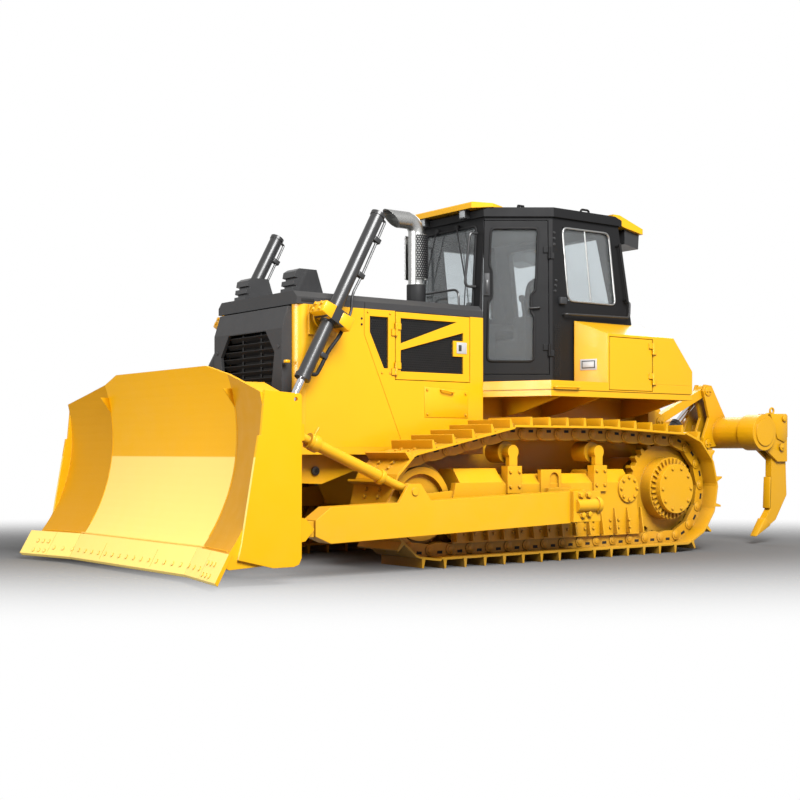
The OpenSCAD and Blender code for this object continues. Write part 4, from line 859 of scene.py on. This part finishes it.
lift = dict(yoke=(2099, 2079), y=800, along=(0.4753, -0.8798), capFront=(36, 150), capRear=(-165, -36), capHalf=64,
            capTaper=0.8, capSide=(-94, 99), bolt=30, boltAlong=(-26, 26), boltSide=(-42, 46), lineRadius=12,
            line=[(-985, -62), (-985, -92), (-450, -104), (-265, -94), (-150, -150), (-66, -160)], hoseRadius=17,
            hose=[(64, -150), (120, -146), (271, -112), (388, -112), (500, -104), (520, -60)], bend=60,
            clamps=[-800, -450, 330], clampAlong=22, clampSide=24, clampNear=-52, clampFar=-124)


def onLift(a, y, c):
    (x, z), (ax, az) = lift["yoke"], lift["along"]
    return spot(x + a * ax - c * az, lift["y"] + y, z + a * az + c * ax)


def liftPlate(corners, y0, y1, soft):
    return plate([onLift(a, y0, c) for a, c in corners], (0, y1 - y0, 0), soft)


def dressLift():
    half = lift["capHalf"]
    slim = half * lift["capTaper"]
    caps = [liftPlate([(-half, c0), (half, c0), (slim, c1), (-slim, c1)], *lift["capSide"], 12)
            for c0, c1 in (lift["capFront"], lift["capRear"])]
    pair(join(caps), "yokeCaps", "yellow", "lift_barrel_{side}")
    ax, az = lift["along"]
    heads = [facing(onLift(a, y, c), (-sign * az, 0, sign * ax))
             for c, sign in ((lift["capFront"][1], 1), (lift["capRear"][0], -1))
             for a in lift["boltAlong"] for y in lift["boltSide"]]
    pair(spread(hexBolt(lift["bolt"]), heads), "yokeBolts", "yellow", "lift_barrel_{side}")
    for path, radius, name, finish in [("line", "lineRadius", "liftLine", "black"),
                                       ("hose", "hoseRadius", "liftHose", "rubber")]:
        pipe = tube([onLift(a, 0, c) for a, c in lift[path]], lift[radius], corner=lift["bend"])
        pair(pipe, name, finish, "lift_barrel_{side}")
    wide, side, near, far = lift["clampAlong"], lift["clampSide"], lift["clampNear"], lift["clampFar"]
    clamps = [liftPlate([(a - wide, near), (a - wide, far), (a + wide, far), (a + wide, near)], -side, side, 6)
              for a in lift["clamps"]]
    pair(join(clamps), "lineClamps", "black", "lift_barrel_{side}")
    print("lift cylinders dressed")


dressLift()


# bolts found on the surfaces of the CAD nodes

def touch(node, start, way):
    # where a ray from a drawing place first meets a node, and the face's normal there
    hit, place, normal, face = nodes[node].ray_cast(spot(*start), Vector(way).normalized())
    return (place, normal) if hit else None


def boltsOn(node, rays, size, tall=1.0):
    found = [touch(node, start, way) for start, way in rays]
    return spread(hexBolt(size), [facing(*f) @ Matrix.Diagonal((1, 1, tall, 1)) for f in found if f])


under = dict(outerY=1775, innerY=1340, hub=(-1600, 610, 200, 10), hubBolt=28, pivot=(-1004, 622, 104, 8), pivotBolt=30,
             cap=[(11, 589), (-80, 587), (-10, 413), (-87, 421)], capBolt=50, posts=[(438, 600), (-620, 600)],
             postBolts=[(-52, 60), (52, 60), (-52, 190), (52, 190)], postBolt=28)


def fromSide(places, y):
    return [((x, y, z), (0, -1, 0)) for x, z in places]


def dressUnder():
    outer, inner = under["outerY"], under["innerY"]
    pair(boltsOn("sprockets", fromSide(ring(*under["hub"]), outer), under["hubBolt"]), "hubBolts", "track")
    pair(boltsOn("track_frame_left", fromSide(ring(*under["pivot"]), inner), under["pivotBolt"]), "pivotBolts", "frame")
    pair(boltsOn("push_arm_left", fromSide(under["cap"], outer), under["capBolt"]), "capBolts", "frame",
         "push_arm_{side}")
    posts = [(x + dx, z + dz) for x, z in under["posts"] for dx, dz in under["postBolts"]]
    pair(boltsOn("track_frame_left", fromSide(posts, inner), under["postBolt"]), "postBolts", "frame")
    print("undercarriage dressed")


dressUnder()


# blade: bolts and gaps along the cutting edges

edgeBolts = dict(count=21, half=1320, z=120, endY=[1440, 1520, 1600], endZ=[90, 170], size=34, tall=0.35,
                 gapY=[-460, 460], gapZ=[75, 205], gap=2)


def fromFront(y, z):
    return (4400, y, z), (-1, 0, 0)


def dressBlade():
    half, last = edgeBolts["half"], edgeBolts["count"] - 1
    rays = [fromFront(-half + 2 * half * i / last, edgeBolts["z"]) for i in range(last + 1)]
    rays += [fromFront(s * y, z) for s in (1, -1) for y in edgeBolts["endY"] for z in edgeBolts["endZ"]]
    ship(boltsOn("cutting_edges", rays, edgeBolts["size"], edgeBolts["tall"]), "edgeBolts", "edges", "blade")
    gaps = []
    for y in edgeBolts["gapY"]:
        ends = [touch("cutting_edges", *fromFront(y, z)) for z in edgeBolts["gapZ"]]
        if all(ends):
            gaps.append(tube([e[0] for e in ends], edgeBolts["gap"]))
    if gaps:
        ship(join(gaps), "edgeGaps", "frame", "blade")
    print("blade dressed")


dressBlade()


# deck and tank: handle, latch plate

deckHandle = dict(path=[(20, 1246, 1541), (20, 1284, 1541), (-275, 1284, 1541), (-275, 1246, 1541)], radius=9)
tankLatch = dict(ray=((100, 1064, 1772), (-1, 0, 0)), size=(170, 100, 8), recess=(138, 72, 10), grip=(118, 54, 13))


def placard(size, spotOn, soft):
    # a small plate lying on a face
    piece = soften(cube((0, 0, size[2] / 1000 / 2 - 0.001), size), soft)
    piece.data.transform(facing(*spotOn))
    return piece


def dressDeck():
    pair(rail(deckHandle), "deckHandle", "yellow")
    at = touch("tank_left", *tankLatch["ray"])
    pair(placard(tankLatch["size"], at, 3), "tankLatch", "bright")
    pair(placard(tankLatch["recess"], at, 2), "tankLatchRecess", "plastic")
    pair(placard(tankLatch["grip"], at, 3), "tankLatchGrip", "bright")
    print("deck dressed")


dressDeck()

# blade: weld beads along the edges and wing seams, gussets at the seam tops

welds = dict(edgeBead=5, seamBead=7, seamLow=330, seamHigh=1440, seamSteps=14, gussetTall=170, gussetDeep=75,
             gussetThick=14, rows=[(-1100, 1100), (1150, 1640), (-1640, -1150)], edgeUp=6, turn=0.12, turnFrom=1000,
             turnStep=5)


def bladeFront(y, z):
    return touch("blade", *fromFront(y, z))


def seamAt(z):
    # the first place from the middle where the moldboard turns into the wing
    for step in range(100):
        hit = bladeFront(welds["turnFrom"] + step * welds["turnStep"], z)
        if hit and abs(hit[1].y) > welds["turn"]:
            return hit[0]
    return None


def dressSeams():
    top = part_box("cutting_edges")[1].z * 1000 + welds["edgeUp"]
    beads = []
    for row in welds["rows"]:
        ends = [bladeFront(y, top) for y in row]
        if all(ends):
            beads.append(tube([e[0] for e in ends], welds["edgeBead"]))
    low, high, steps = welds["seamLow"], welds["seamHigh"], welds["seamSteps"]
    seam = [seamAt(low + (high - low) * i / steps) for i in range(steps + 1)]
    seam = [p for p in seam if p]
    near = tube(seam, welds["seamBead"], corner=10)
    beads += [near, mirrored(near)]
    ship(join(beads), "bladeWelds", "blade", "blade")
    head = seam[-1]
    foot = min(seam, key=lambda p: abs(p.z - (head.z - welds["gussetTall"] / 1000)))
    out = Vector((welds["gussetDeep"] / 1000, 0, 0))
    half = Vector((0, welds["gussetThick"] / 2000, 0))
    gusset = plate([head - half - out * 0.1, head - half + out, foot - half - out * 0.1],
                   (0, welds["gussetThick"], 0), 3)
    ship(join([gusset, mirrored(gusset)]), "seamGussets", "blade", "blade")
    print("blade seams dressed")


dressSeams()


# ripper: tooth boots, shank guards, pin heads and retainers

ripper = dict(rows=[-1000, 0, 1000], half=46, pin=(-3449, 1010), pinOut=83, pinRadius=38, pinDepth=12,
              nib=(14, 6, 2, 18), knob=(-3478, 1312), knobShape=(30, 24, 7), eye=(-3310, 1392, 30, 11), eyeSide=60,
              eyeFoot=110, eyeHalf=12,
              cheek=[(-3262, 1362), (-3532, 1366), (-3552, 1344), (-3552, 1120), (-3500, 1060), (-3380, 1100)],
              boot=[(-3080, 82), (-3216, 268), (-3240, 262), (-3318, 206), (-3300, 184)],
              guard=[(-3306, 366), (-3322, 700), (-3306, 700), (-3290, 374)], guardHalf=42,
              rear=[(-2859, 1048), (-2859, 1603)], front=[(-2110, 715), (-2110, 1270)], linkY=800, capRadius=50,
              capDepth=12, capBolt=22, capBoltAt=(-24, 24))


def linkCaps(node, places):
    # a round cap with two bolts on each side of a link's pivots
    caps = []
    for x, z in places:
        for side in (1, -1):
            hit = touch(node, (x, side * ripper["linkY"], z), (0, -side, 0))
            if hit:
                y = hit[0].y * 1000
                caps.append(disc((x, y - side, z), (0, side, 0), ripper["capRadius"], ripper["capDepth"], 4))
                top = y + side * (ripper["capDepth"] - 1)
                caps += [bolts([(x + dx, top, z)], (0, side, 0), ripper["capBolt"]) for dx in ripper["capBoltAt"]]
    return caps


def dressRipper():
    boots, guards, heads = [], [], []
    px, pz = ripper["pin"]
    deep = ripper["pinDepth"]
    for y in ripper["rows"]:
        boots.append(sidePlate(ripper["boot"], y - ripper["half"], y + ripper["half"], 8))
        guards.append(sidePlate(ripper["guard"], y - ripper["guardHalf"], y + ripper["guardHalf"], 4))
        for side in (1, -1):
            face = y + side * ripper["pinOut"]
            heads.append(disc((px, face, pz), (0, side, 0), ripper["pinRadius"], deep, 4))
            heads.append(disc((px, face + side * deep, pz), (0, side, 0), *ripper["nib"]))
    kx, kz = ripper["knob"]
    x, z, r, wire = ripper["eye"]
    half = ripper["eyeHalf"]
    for y in ripper["rows"]:
        out, eyeY = ripper["pinOut"], y + ripper["eyeSide"]
        guards.append(sidePlate(ripper["cheek"], y - out, y + out, 8))
        heads += [disc((kx, y + side * (out - 1), kz), (0, side, 0), *ripper["knobShape"]) for side in (1, -1)]
        turns = [k * math.pi / 6 for k in range(12)]
        heads.append(tube([spot(x + r * math.cos(t), eyeY, z + r * math.sin(t)) for t in turns], wire, True, 12))
        heads.append(block((x - half, eyeY - half, z - ripper["eyeFoot"]), (x + half, eyeY + half, z - r), 4))
    ship(join(boots + guards), "shankBoots", "frame", "ripper_beam")
    ship(join(heads), "shankPins", "frame", "ripper_beam")
    for name, node, places, body in [("linkPinsRear", "ripper_beam", ripper["rear"], "ripper_beam"),
                                     ("linkPinsFront", "ripper_mount", ripper["front"], "machine")]:
        caps = linkCaps(node, places)
        if caps:
            ship(join(caps), name, "frame", body)
    print("ripper dressed")


dressRipper()


# nose and hood: catch, cap, slot, seam, screws, lamp lenses

nose = dict(catch=((2384, 588, 1690), (2428, 628, 1716)), cap=((2700, 505, 1830), (-1, 0, 0)), capRadius=17, capDepth=8,
            slot=oblong(2290, 2226, 2165, 2198), seam=oblong(1653, 2238, 1647, 2184), hoodFace=645,
            screws=[(1622, 2152), (1385, 2152), (1385, 1640), (1470, 1640)], screw=16)
lens = dict(outline=oblong(264, 3146, 336, 3208), x=(283, 289))


def dressNose():
    pair(block(*nose["catch"], 6), "grilleCatch", "yellow")
    hit = touch("grille", *nose["cap"])
    if hit:
        place = (hit[0].x * 1000 + midX * 1000 - 1, hit[0].y * 1000, hit[0].z * 1000)
        pair(disc(place, hit[1], nose["capRadius"], nose["capDepth"], 3), "maskCap", "hood")
    # near-black slot and seam on the hood, painted shade
    pair(sidePlate(nose["slot"], nose["hoodFace"] - 2, nose["hoodFace"] + 2, 1), "hoodSlot", "shadeBlack")
    pair(sidePlate(nose["seam"], nose["hoodFace"] - 2, nose["hoodFace"] + 1.5, 0), "hoodSeam", "shadeBlack")
    pair(bolts([(x, engineFace - 1, z) for x, z in nose["screws"]], (0, 1, 0), nose["screw"]), "panelScrews", "yellow")
    pair(frontPlate(lens["outline"], *lens["x"], 3), "visorLens", "lens")
    print("nose dressed")


dressNose()


# brace collar with its lever, tow eye, roof staple, guard bolts

brace = dict(y=1450, along=(0.922, 0, 0.387), rings=[(2668, 1015, 66, 64), (2060, 759, 60, 40)],
             path=[(2698, 1450, 1040), (2690, 1450, 1100), (2652, 1450, 1146)], radius=10)
towEye = dict(ray=((2030, 1700, 802), (0, -1, 0)), radius=38, depth=24, hole=16, holeOut=20, holeDepth=4)
staple = dict(path=[(-910, 760, 3180), (-910, 760, 3276), (-805, 760, 3276), (-805, 760, 3180)], radius=11)
guardBolts = dict(y=1345, z=[262, 330], start=1100, stop=-1100, step=-110, size=24, outside=1.15)


def dressSmall():
    collars = [disc((x, brace["y"], z), brace["along"], radius, depth, 6) for x, z, radius, depth in brace["rings"]]
    ship(join(collars + [rail(brace)]), "braceCollar", "yellow", "brace")
    hit = touch("hull", *towEye["ray"])
    if hit:
        y = hit[0].y * 1000
        x, z = towEye["ray"][0][::2]
        pair(disc((x, y - 2, z), (0, 1, 0), towEye["radius"], towEye["depth"], 5), "towEye", "black")
        # a near-black disc in the eye, painted shade of the hole
        hole = disc((x, y + towEye["holeOut"], z), (0, 1, 0), towEye["hole"], towEye["holeDepth"], 1)
        pair(hole, "towEyeHole", "shadeBlack")
    pair(rail(staple, 25), "roofStaple", "cab")
    row = range(guardBolts["start"], guardBolts["stop"], guardBolts["step"])
    rays = fromSide([(x, z) for x in row for z in guardBolts["z"]], guardBolts["y"])
    found = [touch("track_frame_left", *ray) for ray in rays]
    found = [f for f in found if f and f[1].y > 0.9 and f[0].y > guardBolts["outside"]]
    if found:
        pair(spread(hexBolt(guardBolts["size"]), [facing(*f) for f in found]), "guardBolts", "frame")
    print("small parts dressed:", len(found), "guard bolts")


dressSmall()

added = 0
for piece in shipped:
    piece.data.calc_loop_triangles()
    added += len(piece.data.loop_triangles)
print("added triangles:", added)


# stage: floor, light and camera

camera = dict(place=(8.245 - midX, 9.836, 0.965), yaw=52.82, lens=59.9, shift=0.0645)
floorLook = dict(size=70, shade=112, depth=13.4, along=5.5, across=13, inner=0.25, outer=1.15)


backdrop = dict(sheen=0.6, fill=0.2)  # how much of the white a mirror and a matt face take
studioLamps = [dict(name="keySide", place=(2.5, 9.0, 8.5), aim=(0, 0.5, 1.2), size=(6, 5), power=2450),
               dict(name="fillFront", place=(11.2, 1.6, 3.0), aim=(2.5, 0, 0.9), size=(5, 3.5), power=700),
               dict(name="rimBack", place=(-9, -5, 7), aim=(-1, 0, 1.5), size=(6, 4), power=320)]
yaw = math.radians(camera["yaw"])
away = Vector((-math.cos(yaw), -math.sin(yaw), 0))


def makeFloor():
    # grey under the machine, fading to the white of the backdrop all round
    middle = Vector((camera["place"][0], camera["place"][1], 0)) + away * floorLook["depth"]
    rest()
    bpy.ops.mesh.primitive_plane_add(size=floorLook["size"], location=(0, 0, 0))
    floor = bpy.context.object
    floor.name = "floor"
    finish, tree, shader = newFinish("studioFloor")
    turned = addNode(tree, "Mapping", [("Vector", objectPlace(tree)), ("Location", middle), ("Rotation", (0, 0, yaw)),
                                       ("Scale", (floorLook["along"], floorLook["across"], 1))],
                     vector_type="TEXTURE").outputs[0]
    reach = addNode(tree, "VectorMath", [(0, turned)], operation="LENGTH").outputs["Value"]
    fade = remap(tree, reach, floorLook["inner"], floorLook["outer"], 1.0, 0.0, interpolation_type="SMOOTHSTEP")
    grey = useGroup(tree, mottle, Color=tone(*[floorLook["shade"]] * 3), Scale=0.6, Amount=0.03)
    feed(tree, shader, [("Alpha", fade), ("Base Color", grey["Color"]), ("Roughness", 0.9),
                        ("Specular IOR Level", 0.1)])
    floor.data.materials.append(finish)


def addLamp(name, place, aim, size, power):
    bpy.ops.object.light_add(type="AREA", location=place)
    lamp = bpy.context.object
    lamp.name = name
    lamp.data.shape = "RECTANGLE"
    lamp.data.size, lamp.data.size_y = size
    lamp.data.energy = power
    lamp.rotation_euler = (Vector(aim) - Vector(place)).to_track_quat("-Z", "Y").to_euler()


def lightStudio():
    world = bpy.data.worlds.new("studio")
    bpy.context.scene.world = world
    world.use_nodes = True
    tree = world.node_tree
    tree.nodes.clear()
    ray = addNode(tree, "LightPath").outputs
    straight = calc(tree, "MAXIMUM", ray["Is Camera Ray"], ray["Is Transmission Ray"])
    sheen = calc(tree, "MULTIPLY", ray["Is Glossy Ray"], backdrop["sheen"])
    strength = remap(tree, calc(tree, "MAXIMUM", straight, sheen), 0.0, 1.0, backdrop["fill"], 1.0)
    sky = addNode(tree, "Background", [("Color", (1, 1, 1, 1)), ("Strength", strength)])
    addNode(tree, "OutputWorld", [("Surface", sky.outputs[0])])
    for lamp in studioLamps:
        addLamp(**lamp)


def setCamera():
    data = bpy.data.cameras.new("photoView")
    data.lens = camera["lens"]
    data.sensor_width = 36
    data.shift_y = camera["shift"]
    view = bpy.data.objects.new("photoView", data)
    bpy.context.scene.collection.objects.link(view)
    view.location = camera["place"]
    view.rotation_euler = away.to_track_quat("-Z", "Y").to_euler()
    bpy.context.scene.camera = view


makeFloor()
lightStudio()
setCamera()
bpy.context.scene.view_settings.view_transform = "Standard"
print("stage ready")
